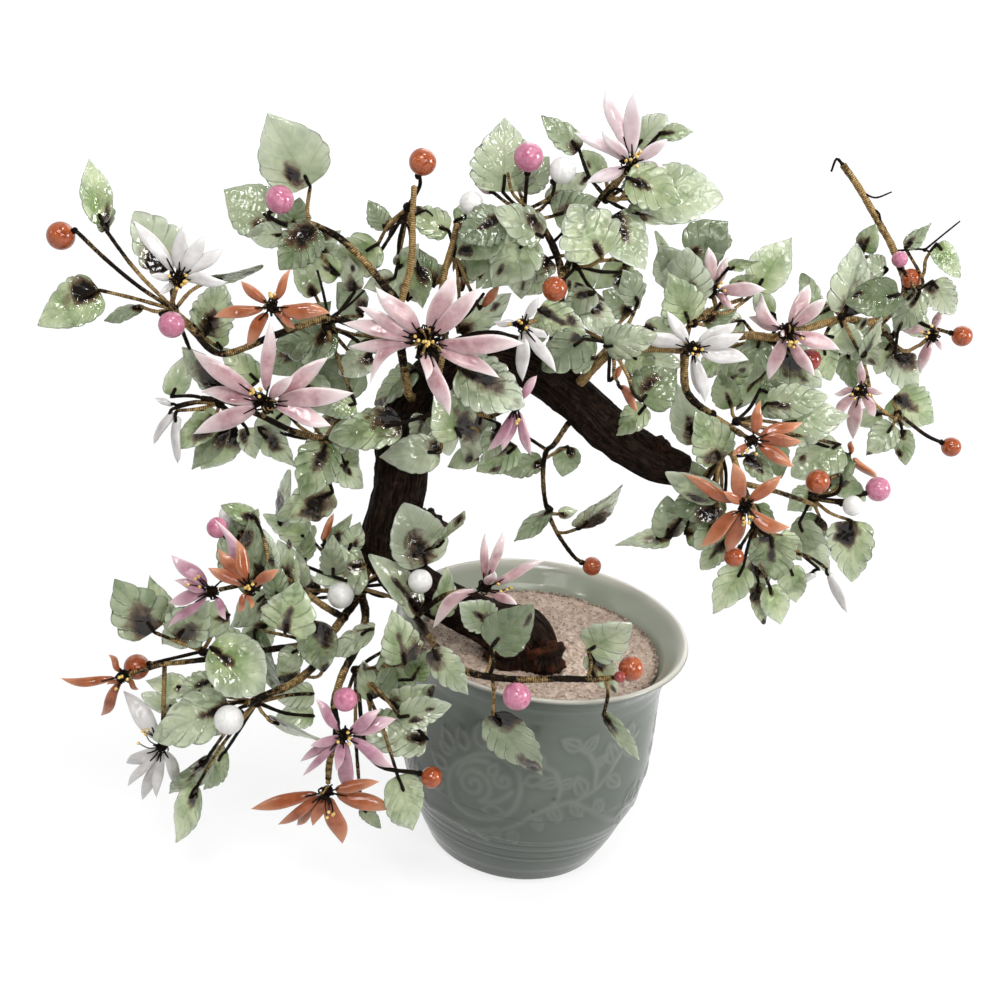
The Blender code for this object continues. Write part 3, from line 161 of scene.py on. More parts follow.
# Flowers: colour, bough, hub (x, z, out), petals (tip x, tip z, width, out, sway).
FLOWERS = {
    "flower_heart": ("pink", "bough_left", (-65, 238, 46), [
        (-88, 260, 11), (-95, 250, 8), (-101, 243, 9), (-98, 232, 7), (-87, 215, 7, 8, 0.25),
        (-63, 222, 8, 12), (-52, 206, 10, 4), (-31, 227, 9), (-23, 243, 11), (-43, 265, 10),
        (-56, 272, 11, -6)]),
    "flower_left_pink": ("pink", "bough_side", (-130, 203, 42), [
        (-131, 240, 8), (-164, 222, 10, -4), (-160, 204, 9, -6), (-162, 184, 11),
        (-104, 227, 10, -8), (-120, 216, 7, 10), (-92, 213, 11), (-101, 196, 11, 4)]),
    "flower_left_white": ("white", "bough_left", (-169, 252, 36), [
        (-188, 275, 8), (-168, 276, 9, -6), (-159, 272, 10), (-150, 268, 8, -4), (-148, 254, 7, 4),
        (-177, 244, 6, 6), (-181, 252, 6, 6)]),
    "flower_left_orange": ("orange", "bough_left", (-130, 245, 36), [
        (-155, 238, 7, 4), (-144, 254, 9), (-123, 263, 5, -4), (-105, 245, 10), (-141, 226, 8, 4),
        (-119, 237, 7)]),
    "flower_summit": ("blush", "bough_top", (9, 321, 8), [
        (-6, 349, 8, -6), (6, 350, 9), (-15, 332, 6), (-4, 333, 6, 8), (22, 333, 7),
        (26, 320, 7, -4), (-8, 311, 8, 4), (18, 316, 7, 8)]),
    "flower_upper_right": ("pink", "bough_right", (49, 275, -12), [
        (45, 293, 8), (54, 290, 6, -4), (71, 279, 11, 4), (60, 268, 8, 6)]),
    "flower_right_pink": ("pink", "bough_right", (82, 262, -18), [
        (70, 277, 10, 4, -0.25), (65, 266, 8, -4), (96, 278, 8), (106, 257, 14), (97, 243, 7, 6),
        (78, 240, 9), (88, 283, 9, -8), (80, 260, 8, 8)]),
    "flower_centre_white": ("white", "bough_right", (45, 250, 8), [
        (32, 264, 9), (22, 253, 10, 2), (66, 258, 9, 2), (70, 247, 9), (62, 264, 8, -6),
        (56, 226, 7, 2), (52, 229, 6, -4)]),
    "flower_far_pink": ("pink", "bough_right", (117, 241, -42), [
        (115, 254, 12), (106, 238, 8), (127, 241, 8), (112, 225, 6, 2, 0.2), (118, 218, 9),
        (127, 229, 6, -4)]),
    "flower_tip_pink": ("pink", "bough_right", (141, 268, -54), [
        (127, 270, 8), (142, 281, 8, -4), (139, 250, 9, 2), (147, 262, 6)]),
    "flower_right_orange": ("orange", "bough_right", (77, 213, 2), [
        (77, 231, 8), (97, 225, 7, -4), (98, 216, 8), (97, 203, 10, 4), (70, 205, 7, 6)]),
    "flower_low_orange": ("orange", "bough_right", (79, 183, 6), [
        (70, 203, 11, 6), (50, 193, 7), (93, 199, 11), (101, 175, 10, 0, 0.15), (64, 160, 9),
        (76, 158, 12, -4), (69, 188, 8, 8)]),
    "flower_coral": ("orange", "bough_low", (-133, 113, 88), [
        (-153, 121, 14), (-149, 131, 10, -6), (-141, 137, 10, -8), (-121, 125, 8, 2),
        (-139, 99, 12, 6), (-132, 102, 8, 8)]),
    "flower_mauve": ("pink", "bough_low", (-150, 109, 76), [
        (-170, 125, 11), (-152, 146, 8, 0, 0.3), (-168, 112, 7, 4), (-170, 101, 12), (-171, 86, 6),
        (-143, 95, 10, 6)]),
    "flower_far_orange": ("orange", "bough_low", (-190, 59, 78), [
        (-220, 54, 6, 0, -0.1), (-198, 52, 6, 4), (-197, 70, 8, -4), (-201, 33, 7),
        (-183, 51, 7)]),
    "flower_low_white": ("white", "bough_low", (-171, 23, 78), [
        (-190, 52, 12, -2), (-190, 8, 9), (-188, -4, 6, 4), (-181, -11, 8, -4), (-174, -8, 7, 4),
        (-162, 0, 8)]),
    "flower_low_pink": ("pink", "bough_low", (-85, 42, 98), [
        (-101, 59, 7), (-101, 32, 12, 4), (-105, 24, 6, -4), (-104, 15, 5, 2), (-81, 8, 10, -4),
        (-88, 21, 9, 6), (-69, 57, 9), (-61, 54, 9, -5), (-60, 27, 9)]),
    "flower_fan": ("orange", "bough_low", (-91, 9, 98), [
        (-128, -8, 9), (-115, -17, 7, 4), (-106, -14, 8, -4), (-97, -12, 10, 3), (-81, -21, 13),
        (-65, 18, 8, 4), (-58, 3, 11, -3)]),
    "flower_rim": ("pink", "spray_front", (-28, 128, 44), [
        (-22, 158, 6), (-31, 156, 5, -4), (-24, 137, 11, 8), (-2, 146, 6), (-12, 121, 11, 4),
        (-50, 104, 8, 4, 0.15)]),
    "flower_hanging": ("pink", "bough_mid", (-24, 216, 28), [
        (-35, 193, 6, 0, -0.1), (-28, 194, 8), (-15, 192, 6), (-17, 230, 12, -4)]),
    "flower_inner_white": ("white", "bough_top", (-26, 251, 26), [
        (-20, 264, 7), (-38, 250, 10), (-22, 226, 8, 2), (-9, 232, 7), (-14, 246, 8, -6)]),
}

# Sprays: bough, knot (x, z, out), leaves, beads and odd petals of one bunch.
# A leaf is (base x, base z, tip x, tip z, width, out from the knot).
# A bead is (colour, x, z, out, diameter, [way points of its stem]).
# An odd petal is (colour, base x, base z, tip x, tip z, width, out).
SPRAYS = {
    "spray_left": ("bough_left", (-170, 238, 28), [
        (-201, 271, -206, 296, 12, 4), (-199, 268, -201, 284, 6, -2),
        (-202, 243, -227, 225, 19, 4), (-184, 238, -200, 231, 5, 0),
        (-172, 256, -187, 277, 20, -12), (-157, 229, -151, 252, 18, -10),
        (-156, 253, -135, 261, 5, -14), (-155, 206, -163, 219, 5, -6),
        (-150, 224, -160, 240, 10, -16)],
        [("orange", -218, 264, 32, 11.7, [(-186, 247, 29), (-200, 257, 31), (-212, 267, 32)]),
         ("pink", -171.5, 232, 40, 11.2, [])], []),
    "spray_arc": ("bough_left", (-117, 281, 11), [
        (-132, 281, -151, 291, 21, -8), (-117, 297, -135, 322, 27, -4),
        (-124, 278, -121, 291, 13, -14), (-127, 276, -141, 274, 10, 0),
        (-114, 281, -127, 262, 17, 8), (-112, 273, -101, 268, 8, -6),
        (-116, 270, -104, 280, 9, -10), (-103, 262, -116, 268, 11, -4)],
        [("pink", -129, 290, 18, 11.6, [(-126, 280, 13), (-133, 283, 15)])], []),
    "spray_upright": ("bough_left", (-75, 293, 16), [
        (-88, 277, -105, 262, 17, -10), (-85, 283, -93, 293, 9, -8), (-79, 268, -72, 278, 8, -8),
        (-80, 264, -92, 258, 9, -6), (-71, 270, -68, 253, 10, -10),
        (-90, 268, -104, 276, 12, -14)],
        [("orange", -73, 312, 16, 11.0, [])], []),
    "spray_mid": ("bough_mid", (-59, 277, 4), [
        (-60, 286, -77, 292, 12, -2), (-74, 255, -72, 274, 14, -10), (-38, 294, -55, 284, 16, 6),
        (-56, 279, -44, 283, 9, 2), (-64, 262, -70, 276, 12, -8), (-58, 290, -44, 296, 11, -8),
        (-54, 268, -44, 276, 10, -6), (-52, 244, -32, 262, 10, -10)],
        [("white", -52, 298, 8, 9.8, [])],
        [("orange", -52, 262, -53, 276, 9, -8), ("orange", -44, 255, -37, 266, 9, -6)]),
    "spray_left_mid": ("bough_left", (-108, 242, 18), [
        (-102, 238, -127, 228, 22, -4), (-89, 222, -112, 212, 18, -12),
        (-92, 246, -103, 258, 13, -12), (-96, 256, -100, 270, 8, -6), (-92, 207, -104, 201, 9, -2),
        (-110, 226, -96, 213, 14, -16), (-87, 230, -100, 220, 12, -4),
        (-84, 238, -97, 232, 11, -14), (-118, 236, -106, 250, 12, -16),
        (-116, 214, -102, 210, 12, -6), (-112, 252, -121, 268, 10, -16),
        (-116, 228, -130, 216, 12, -18)], [], []),
    "spray_side": ("bough_side", (-103, 190, 22), [
        (-133, 191, -117, 175, 11, 0), (-128, 191, -120, 182, 9, -8),
        (-103, 188, -112, 161, 19, 4), (-99, 165, -122, 149, 16, -2),
        (-88, 196, -101, 184, 10, -4), (-100, 182, -86, 169, 14, -8),
        (-121, 146, -119, 172, 5, -8), (-122, 200, -134, 186, 12, -8),
        (-112, 204, -98, 208, 10, -10), (-94, 178, -92, 190, 9, -10),
        (-96, 202, -108, 192, 10, -14)], [], []),
    "spray_under": ("bough_side", (-150, 201, 26), [
        (-171, 200, -164, 219, 10, -4), (-152, 193, -168, 177, 12, 0),
        (-146, 190, -162, 169, 11, -6), (-142, 188, -157, 168, 13, -12),
        (-148, 206, -166, 222, 10, -10), (-158, 196, -150, 180, 11, -14),
        (-138, 190, -134, 176, 10, -6), (-134, 212, -150, 224, 12, -12)], [],
        [("white", -169, 195, -180, 177, 8, 4), ("white", -168, 194, -169, 168, 4, 4),
         ("white", -169, 196, -178, 199, 6, 2)]),
    "spray_inner": ("bough_mid", (-52, 211, 21), [
        (-72, 201, -101, 190, 17, 2), (-54, 190, -79, 184, 16, 4), (-46, 198, -58, 217, 20, 10),
        (-52, 214, -38, 217, 12, 2), (-50, 229, -22, 216, 23, 6), (-38, 211, -42, 186, 13, -2),
        (-38, 192, -50, 184, 9, -8), (-22, 197, -37, 183, 13, -4), (-56, 208, -50, 190, 14, -6),
        (-30, 206, -34, 188, 11, -8), (-46, 216, -32, 204, 14, -6), (-62, 206, -66, 192, 10, -4),
        (-68, 226, -84, 208, 12, -14)], [], []),
    "spray_umbel": ("bough_top", (-29, 299, 8), [
        (-40, 304, -42, 332, 25, -8), (-19, 297, -3, 306, 14, -4), (-22, 288, -42, 297, 15, 4),
        (-28, 288, -39, 265, 20, 4), (-30, 278, -28, 262, 12, -6), (-20, 275, -27, 262, 10, -12),
        (-40, 290, -56, 276, 16, -4), (-34, 306, -24, 320, 14, -12), (-44, 282, -50, 268, 12, -10),
        (-36, 278, -46, 264, 12, -14), (-22, 302, -6, 316, 10, -14)],
        [("pink", -31.5, 319, 10, 11.8, []), ("white", -17.5, 315.5, 10, 10.6, [])],
        [("blush", -43, 303, -53, 307, 8, -10)]),
    "spray_summit": ("bough_top", (1, 306, 4), [
        (-12, 324, -28, 335, 10, -6), (10, 328, 19, 341, 14, -10), (18, 334, 30, 337, 5, -8),
        (18, 312, 46, 312, 22, 4), (20, 318, 34, 322, 6, -4), (12, 308, 15, 321, 13, 4),
        (10, 303, 35, 302, 8, -4), (8, 316, 30, 309, 17, 8), (0, 314, -10, 324, 9, -8)], [], []),
    "spray_top": ("bough_top", (-12, 279, 5), [
        (3, 283, -12, 302, 24, 6), (4, 300, 20, 281, 18, -2), (13, 278, 20, 264, 12, -6),
        (-2, 282, -8, 266, 13, -6), (-18, 280, -26, 268, 10, -8), (2, 268, -10, 260, 11, 6),
        (14, 283, 2, 270, 10, -12)],
        [("orange", -14.5, 267.5, 16, 10.3, [])], []),
    "spray_centre": ("bough_right", (12, 245, 6), [
        (-20, 258, 0, 250, 14, 4), (0, 262, 14, 250, 12, 2), (18, 262, 6, 269, 12, -8),
        (6, 240, -10, 243, 15, 8), (9, 246, 29, 253, 15, 4), (28, 224, 40, 240, 20, 4),
        (30, 222, 20, 208, 11, -4), (0, 248, -15, 233, 17, 10), (20, 266, 13, 278, 11, -4),
        (4, 258, -6, 270, 12, -6), (-16, 252, -27, 243, 10, 2), (20, 244, 32, 236, 12, -8),
        (26, 244, 42, 242, 10, -14), (24, 256, 40, 256, 9, -10)], [],
        [("orange", 13, 231, 19, 239, 7, 6), ("orange", 17, 231, 28, 219, 7, 6)]),
    "spray_upper_right": ("bough_right", (43, 260, -8), [
        (38, 288, 50, 303, 18, -6), (40, 268, 36, 290, 20, 2), (42, 260, 31, 279, 18, 8),
        (30, 281, 24, 296, 5, -8), (54, 285, 66, 290, 5, -6), (67, 277, 76, 300, 16, -4),
        (36, 276, 26, 290, 15, -8), (48, 262, 60, 268, 9, -10), (50, 290, 44, 302, 11, -12),
        (56, 277, 65, 283, 6, -8)], [], []),
    "spray_right_mid": ("bough_right", (78, 259, -27), [
        (80, 254, 100, 240, 16, -2), (72, 258, 70, 237, 12, 2), (60, 236, 71, 246, 10, 4),
        (93, 270, 84, 286, 8, -6), (68, 252, 58, 240, 13, -10), (90, 250, 78, 236, 17, -10),
        (64, 264, 52, 258, 10, -10), (98, 258, 104, 244, 11, -10), (76, 268, 66, 276, 9, -12),
        (76, 246, 68, 226, 10, -14), (58, 250, 50, 237, 10, -12)],
        [("crimson", 94, 251, -24, 9.3, [])], []),
    "spray_right_low": ("bough_right", (68, 217, -11), [
        (80, 230, 104, 236, 14, -8), (88, 222, 114, 229, 20, -12), (114, 216, 97, 200, 20, -14),
        (76, 236, 92, 226, 15, -12), (84, 214, 92, 198, 13, -10), (66, 226, 58, 240, 12, -6),
        (118, 212, 109, 196, 13, -18), (54, 208, 42, 232, 15, -12)],
        [], []),
    "spray_crown": ("bough_right", (102, 269, -41), [
        (104, 272, 103, 300, 16, 4), (106, 298, 108, 309, 9, -4), (117, 292, 107, 296, 8, -8),
        (124, 283, 104, 277, 15, 8), (115, 255, 119, 272, 6, 6), (98, 262, 116, 261, 12, 4),
        (104, 254, 113, 271, 9, -4), (98, 274, 88, 266, 9, -8),
        (110, 262, 122, 252, 11, -6)], [], []),
    "spray_right_top": ("bough_right", (123, 281, -54), [
        (122, 302, 131, 312, 6, 0), (134, 305, 146, 293, 9, 2), (136, 290, 147, 278, 13, 4),
        (132, 285, 126, 268, 12, 2), (125, 266, 111, 263, 10, 6), (128, 258, 141, 243, 13, 2),
        (125, 262, 122, 249, 12, -4), (130, 274, 142, 268, 10, -8), (122, 276, 112, 286, 11, -10),
        (108, 258, 114, 241, 12, -8)],
        [("pink", 121, 297, -46, 6.5, []), ("orange", 127, 290, -48, 8.0, []),
         ("orange", 153, 269, -58, 8.6, [(136, 272, -58), (146, 270, -58)])],
        [("white", 116, 287, 104, 291, 7, 0)]),
    "spray_right_far": ("bough_right", (134, 230, -52), [
        (132, 240, 150, 231, 18, -4), (134, 228, 126, 213, 12, 4), (138, 226, 143, 211, 9, 4),
        (128, 232, 118, 226, 9, -6)],
        [("orange", 160, 221, -53, 8.4, [(148, 225, -52)])], []),
    "spray_hook": ("bough_right", (108, 187, -21), [
        (114, 201, 130, 192, 10, -6), (104, 178, 121, 156, 11, 0), (126, 182, 132, 154, 20, 2),
        (112, 182, 104, 164, 14, -8), (108, 194, 98, 184, 11, -8)],
        [("orange", 108, 198, -14, 10.5, [(117, 194, -18), (117, 202, -16)]),
         ("pink", 134, 198, -24, 10.7, [(121, 191, -22)]), ("white", 125, 189, -16, 8.9, [])],
        [("orange", 119, 211, 133, 202, 8, -14), ("orange", 119, 211, 118, 219, 6, -14)]),
    "spray_right_base": ("bough_right", (88, 176, -10), [
        (93, 170, 98, 149, 20, 4), (97, 146, 106, 128, 12, 0), (92, 147, 97, 127, 9, -6),
        (84, 154, 75, 130, 15, 4), (84, 184, 94, 168, 10, -8), (92, 160, 84, 140, 14, -8),
        (104, 157, 110, 140, 12, -6), (97, 171, 108, 161, 10, -6)],
        [("orange", 79, 158, 2, 8.9, [])],
        [("white", 117, 157, 103, 142, 8, -4), ("white", 120, 158, 134, 137, 7, 2)]),
    "spray_limb_end": ("bough_right", (68, 208, -8), [
        (49, 163, 46, 182, 14, -8), (56, 166, 74, 172, 15, -6), (68, 184, 44, 193, 9, 6),
        (70, 186, 47, 176, 17, 0), (66, 202, 52, 222, 18, 8), (50, 163, 27, 158, 5, -8),
        (62, 172, 54, 186, 13, -12), (60, 190, 48, 200, 10, -10), (70, 174, 62, 160, 11, 2),
        (76, 206, 90, 194, 9, -14), (74, 166, 66, 150, 11, -8)], [], []),
    "spray_knee": ("bough_low", (-84, 117, 16), [
        (-55, 135, -67, 163, 24, 12), (-56, 112, -80, 136, 11, 18), (-52, 145, -40, 162, 5, 6),
        (-46, 110, -45, 134, 10, 10), (-82, 132, -104, 121, 22, 8), (-100, 138, -90, 155, 5, -4),
        (-110, 128, -108, 148, 8, 4), (-118, 112, -116, 138, 10, 20),
        (-110, 116, -121, 138, 12, 8), (-96, 124, -98, 142, 11, 0), (-104, 112, -112, 126, 10, -4),
        (-106, 140, -128, 150, 13, -14), (-90, 138, -86, 152, 10, -10)],
        [("white", -57, 127, 34, 11.0, []), ("white", -92, 115, 36, 12.0, [])],
        [("orange", -102, 139, -98, 156, 6, 4)]),
    "spray_coral": ("bough_low", (-122, 119, 67), [
        (-142, 118, -146, 138, 10, -6), (-130, 112, -134, 145, 13, -4),
        (-140, 136, -132, 151, 12, -12), (-116, 92, -112, 118, 24, 16),
        (-126, 120, -128, 142, 12, -10), (-134, 128, -144, 146, 12, -16),
        (-120, 108, -124, 128, 11, 4), (-126, 110, -142, 92, 10, -14),
        (-132, 148, -147, 152, 9, -12)],
        [("pink", -149, 141, 66, 9.5, []), ("white", -144, 148, 54, 9.0, [])], []),
    "spray_low_mid": ("bough_low", (-98, 88, 44), [
        (-103, 100, -98, 74, 17, 22), (-130, 92, -118, 60, 8, 14), (-120, 66, -108, 78, 12, 2),
        (-124, 96, -134, 82, 14, 4), (-110, 84, -118, 72, 11, 8),
        (-76, 100, -95, 84, 7, 22)], [], []),
    "spray_far_left": ("bough_low", (-153, 73, 71), [
        (-166, 82, -152, 103, 20, 0), (-176, 84, -194, 108, 25, 0), (-172, 90, -178, 111, 12, -10),
        (-145, 62, -160, 60, 10, -6), (-136, 58, -148, 64, 9, -10), (-150, 80, -124, 60, 27, 10),
        (-142, 98, -162, 88, 15, -8), (-160, 90, -172, 78, 13, -8), (-136, 76, -146, 92, 14, -6)],
        [("orange", -184, 64.5, 74, 12.0, [])], []),
    "spray_low_front": ("bough_low", (-128, 55, 80), [
        (-160, 56, -179, 58, 11, -6), (-165, 44, -181, 50, 9, -8), (-140, 50, -175, 27, 24, 6),
        (-149, 20, -166, -5, 12, 0), (-154, 2, -163, -31, 14, 6), (-141, 24, -150, 2, 8, -6),
        (-122, 46, -92, 36, 5, 0), (-101, 62, -119, 58, 13, -8), (-100, 50, -117, 48, 12, -12),
        (-150, 62, -164, 52, 12, -8)],
        [("white", -140, 42, 94, 14.0, [])], []),
    "spray_pot_side": ("bough_low", (-86, 80, 64), [
        (-60, 84, -68, 110, 18, 14), (-66, 92, -60, 62, 18, 4), (-62, 60, -46, 73, 18, 14),
        (-60, 55, -38, 65, 14, 22), (-46, 45, -80, 42, 18, 10), (-58, 22, -48, -8, 20, 26),
        (-74, 2, -64, -8, 7, 22), (-74, 62, -79, 82, 10, 8), (-76, 78, -58, 66, 15, 0),
        (-72, 48, -56, 56, 13, 0), (-56, 76, -50, 92, 11, 4)],
        [("pink", -86, 61, 96, 11.4, []), ("orange", -42, 24, 92, 10.5, [(-72, 31, 90)])], []),
    "spray_front": (None, (-26, 82, 88), [
        (-22, 98, -6, 122, 20, -2), (-22, 110, -38, 118, 16, -14), (22, 103, 39, 118, 20, -4),
        (24, 101, 38, 83, 12, -8), (34, 71, 53, 49, 10, 2), (-17, 63, 9, 33, 14, 2),
        (-48, 93, -30, 72, 14, 2), (24, 98, 32, 110, 12, -10)],
        [("pink", -7, 74, 98, 13.3, []), ("orange", 43, 96, 88, 11.8, []),
         ("crimson", 38.5, 91, 92, 5.5, [])], []),
    "spray_hanging": (None, (-8, 190, -14), [
        (-10, 192, -26, 184, 10, -4), (0, 200, 0, 186, 11, -10), (-3, 170, -17, 153, 9, -4),
        (0, 168, 8, 171, 5, -8), (9, 162, 26, 183, 10, -10)],
        [("orange", 18, 145, -34, 8.4, [])], []),
}

# Wires that belong to a spray itself; the first starts on the trunk.
SPRAY_WIRES = {
    "spray_front": [
        (1.8, [(-62, 119, 14), (-56, 107, 32), (-47, 95, 56), (-37, 87, 78), (-27, 83, 88),
               (-8, 83, 92), (10, 86, 92), (26, 88, 90), (35, 90, 88)]),
        (1.4, [(-57, 109, 29), (-46, 121, 36), (-34, 126, 40)])],
    "spray_hanging": [
        (1.3, [(-3, 207, -2), (-6, 200, -8), (-9, 196, -12), (-9, 186, -16), (-6, 172, -22),
               (0, 160, -28), (9, 149, -33), (14, 146, -34)]),
        (0.9, [(-9, 197, -11), (-20, 203, -7)])],
}


def spot(x, z, out=0.0):
    """Point at board position x, z brought `out` towards the viewer."""
    board = Vector((x, 0.0, z))
    return board + (VIEWPOINT - board).normalized() * out


def nearness(x, z, out):
    """True size of something that covers one millimetre of the board."""
    return 1.0 - out / (VIEWPOINT - Vector((x, 0.0, z))).length


def across(direction, toward):
    """Unit vector square to `direction`, as near as possible to `toward`."""
    side = toward - direction * toward.dot(direction)
    if side.length < 1e-6:
        side = direction.orthogonal()
    return side.normalized()


def rolled(way, face, angle):
    """`face` turned by `angle` around `way`, to which it is square."""
    return face * math.cos(angle) + way.cross(face) * math.sin(angle)


def taken(made):
    """Vertices and faces of a bmesh, which is freed."""
    made.verts.index_update()
    verts = [corner.co.copy() for corner in made.verts]
    faces = [tuple(corner.index for corner in face.verts) for face in made.faces]
    made.free()
    return verts, faces


def rod(points, radii, resolution=0, grow=0.0):
    """Round bar along `points`: a bevelled curve with its end caps welded on."""
    curve = bpy.data.curves.new("rod", "CURVE")
    curve.dimensions = "3D"
    curve.bevel_depth = 1.0
    curve.bevel_resolution = resolution
    curve.use_fill_caps = True
    spline = curve.splines.new("POLY")
    spline.points.add(len(points) - 1)
    places = list(points)
    places[0] = points[0] + (points[0] - points[1]).normalized() * grow
    places[-1] = points[-1] + (points[-1] - points[-2]).normalized() * grow
    for knot, place, radius in zip(spline.points, places, radii):
        knot.co = (*place, 1.0)
        knot.radius = radius + grow
    bar = bpy.data.objects.new("rod", curve)
    made = bmesh.new()
    made.from_mesh(bar.to_mesh())
    bar.to_mesh_clear()
    bpy.data.objects.remove(bar)
    bpy.data.curves.remove(curve)
    bmesh.ops.remove_doubles(made, verts=made.verts, dist=WELD)
    return taken(made)


def ball(centre, radius, around, rows, grow=0.0):
    """Faceted ball."""
    made = bmesh.new()
    bmesh.ops.create_uvsphere(made, u_segments=around, v_segments=rows, radius=radius + grow,
                              matrix=Matrix.Translation(centre))
    return taken(made)


def turned(profile):
    """Body turned from (radius, height) pairs: a profile with a Screw modifier."""
    line = bpy.data.meshes.new("profile")
    corners = [(radius, 0.0, height) for radius, height in profile]
    line.from_pydata(corners, [(i, i + 1) for i in range(len(corners) - 1)], [])
    blank = bpy.data.objects.new("profile", line)
    bpy.context.scene.collection.objects.link(blank)
    screw = blank.modifiers.new("turn", "SCREW")
    screw.steps = screw.render_steps = SECTORS
    screw.use_merge_vertices = True
    screw.merge_threshold = WELD
    graph = bpy.context.evaluated_depsgraph_get()
    made = bmesh.new()
    made.from_mesh(blank.evaluated_get(graph).to_mesh())
    bpy.data.objects.remove(blank)
    bpy.data.meshes.remove(line)
    return taken(made)


def solid_meshes():
    """The pot, its sand and the trunk, which the wires and the leaves keep clear of."""
    trunk = rod([Vector(row[:3]) for row in TRUNK], [row[3] for row in TRUNK], TRUNK_ROUNDING)
    pot = turned([(0.0, 0.0)] + POT_OUTSIDE + POT_INSIDE + [(0.0, POT_INSIDE[-1][1])])
    top = [(40.0, SAND_TOP), (20.0, SAND_TOP), (0.0, SAND_TOP)]
    sand = turned([(0.0, SAND_SIDE[0][1])] + SAND_SIDE + top)
    lumps = [("trunk", ball(Vector(centre), radius, *BALL)) for centre, radius in TRUNK_LUMPS]
    return [("trunk", trunk), ("pot", pot), ("sand_bed", sand)] + lumps


class Blade:
    """A leaf or a petal: a thin pointed plate from `base` to `tip`."""

    # Two sections of each kind: share along the blade, and half width as a share.
    SECTIONS = {"leaf": ((0.26, 0.44), (0.70, 0.44)), "petal": ((0.32, 0.46), (0.7, 0.41))}
    THICKNESS = {"leaf": LEAF_THICKNESS, "petal": PETAL_THICKNESS}

    def __init__(self, kind, base, tip, width, face, arch, sway=0.0, hue="leaf"):
        self.kind, self.base, self.tip = kind, base, tip
        self.width, self.arch, self.sway, self.hue = width, arch, sway, hue
        self.way = (tip - base).normalized()
        self.face = across(self.way, face)
        self.side = self.way.cross(self.face)
        self.length = (tip - base).length

    def at(self, t, across_by=0.0, lift=0.0):
        """Point a share t along the blade, offset sideways and off its face."""
        bend = math.sin(math.pi * t)
        point = self.base.lerp(self.tip, t)
        point = point + self.face * (self.arch * self.length * bend + lift)
        return point + self.side * (self.sway * self.length * bend + across_by)

    def mesh(self, grow=0.0):
        """Closed faceted blade with two three-cornered sections: vertices and faces."""
        verts = [self.base - self.way * grow]
        for t, share in self.SECTIONS[self.kind]:
            half, thick = share * self.width + grow, self.THICKNESS[self.kind] + grow
            verts += [self.at(t, half, grow), self.at(t, -half, grow), self.at(t, 0.0, -thick)]
        verts.append(self.tip + self.way * grow)
        faces = []
        for k in range(3):
            n = (k + 1) % 3
            faces += [(0, 1 + k, 1 + n), (1 + k, 4 + k, 4 + n, 1 + n), (4 + k, 7, 4 + n)]
        return verts, faces


def shape_mesh(shape, grow=0.0):
    """Vertices and faces of a placed shape, made larger all round by `grow`.

    A shape is ("wire", points, radii), ("ball", centre, radius, around, rows,
    hue) or ("blade", blade).
    """
    if shape[0] == "wire":
        return rod(shape[1], shape[2], 0, grow)
    if shape[0] == "ball":
        return ball(*shape[1:5], grow)
    return shape[1].mesh(grow)


def box_of(verts):
    """Lowest and highest corner of some points."""
    return ([min(v[i] for v in verts) for i in range(3)],
            [max(v[i] for v in verts) for i in range(3)])


class Crowd:
    """Everything placed so far, so that later pieces keep clear of it."""

    def __init__(self):
        self.items = []

    def add(self, node, mesh, kind):
        self.items.append((node, kind, *box_of(mesh[0]), BVHTree.FromPolygons(*mesh)))

    def hits(self, node, mesh, own=()):
        """Whether `mesh` touches a piece; in its own node only the kinds in `own` count."""
        low, high = box_of(mesh[0])
        if low[2] < FLOOR_CLEARANCE:
            return True
        tree = None
        for name, kind, floor, roof, other in self.items:
            if name == node and kind not in own:
                continue
            if any(low[i] > roof[i] or high[i] < floor[i] for i in range(3)):
                continue
            tree = tree or BVHTree.FromPolygons(*mesh)
            if tree.overlap(other):
                return True
        return False


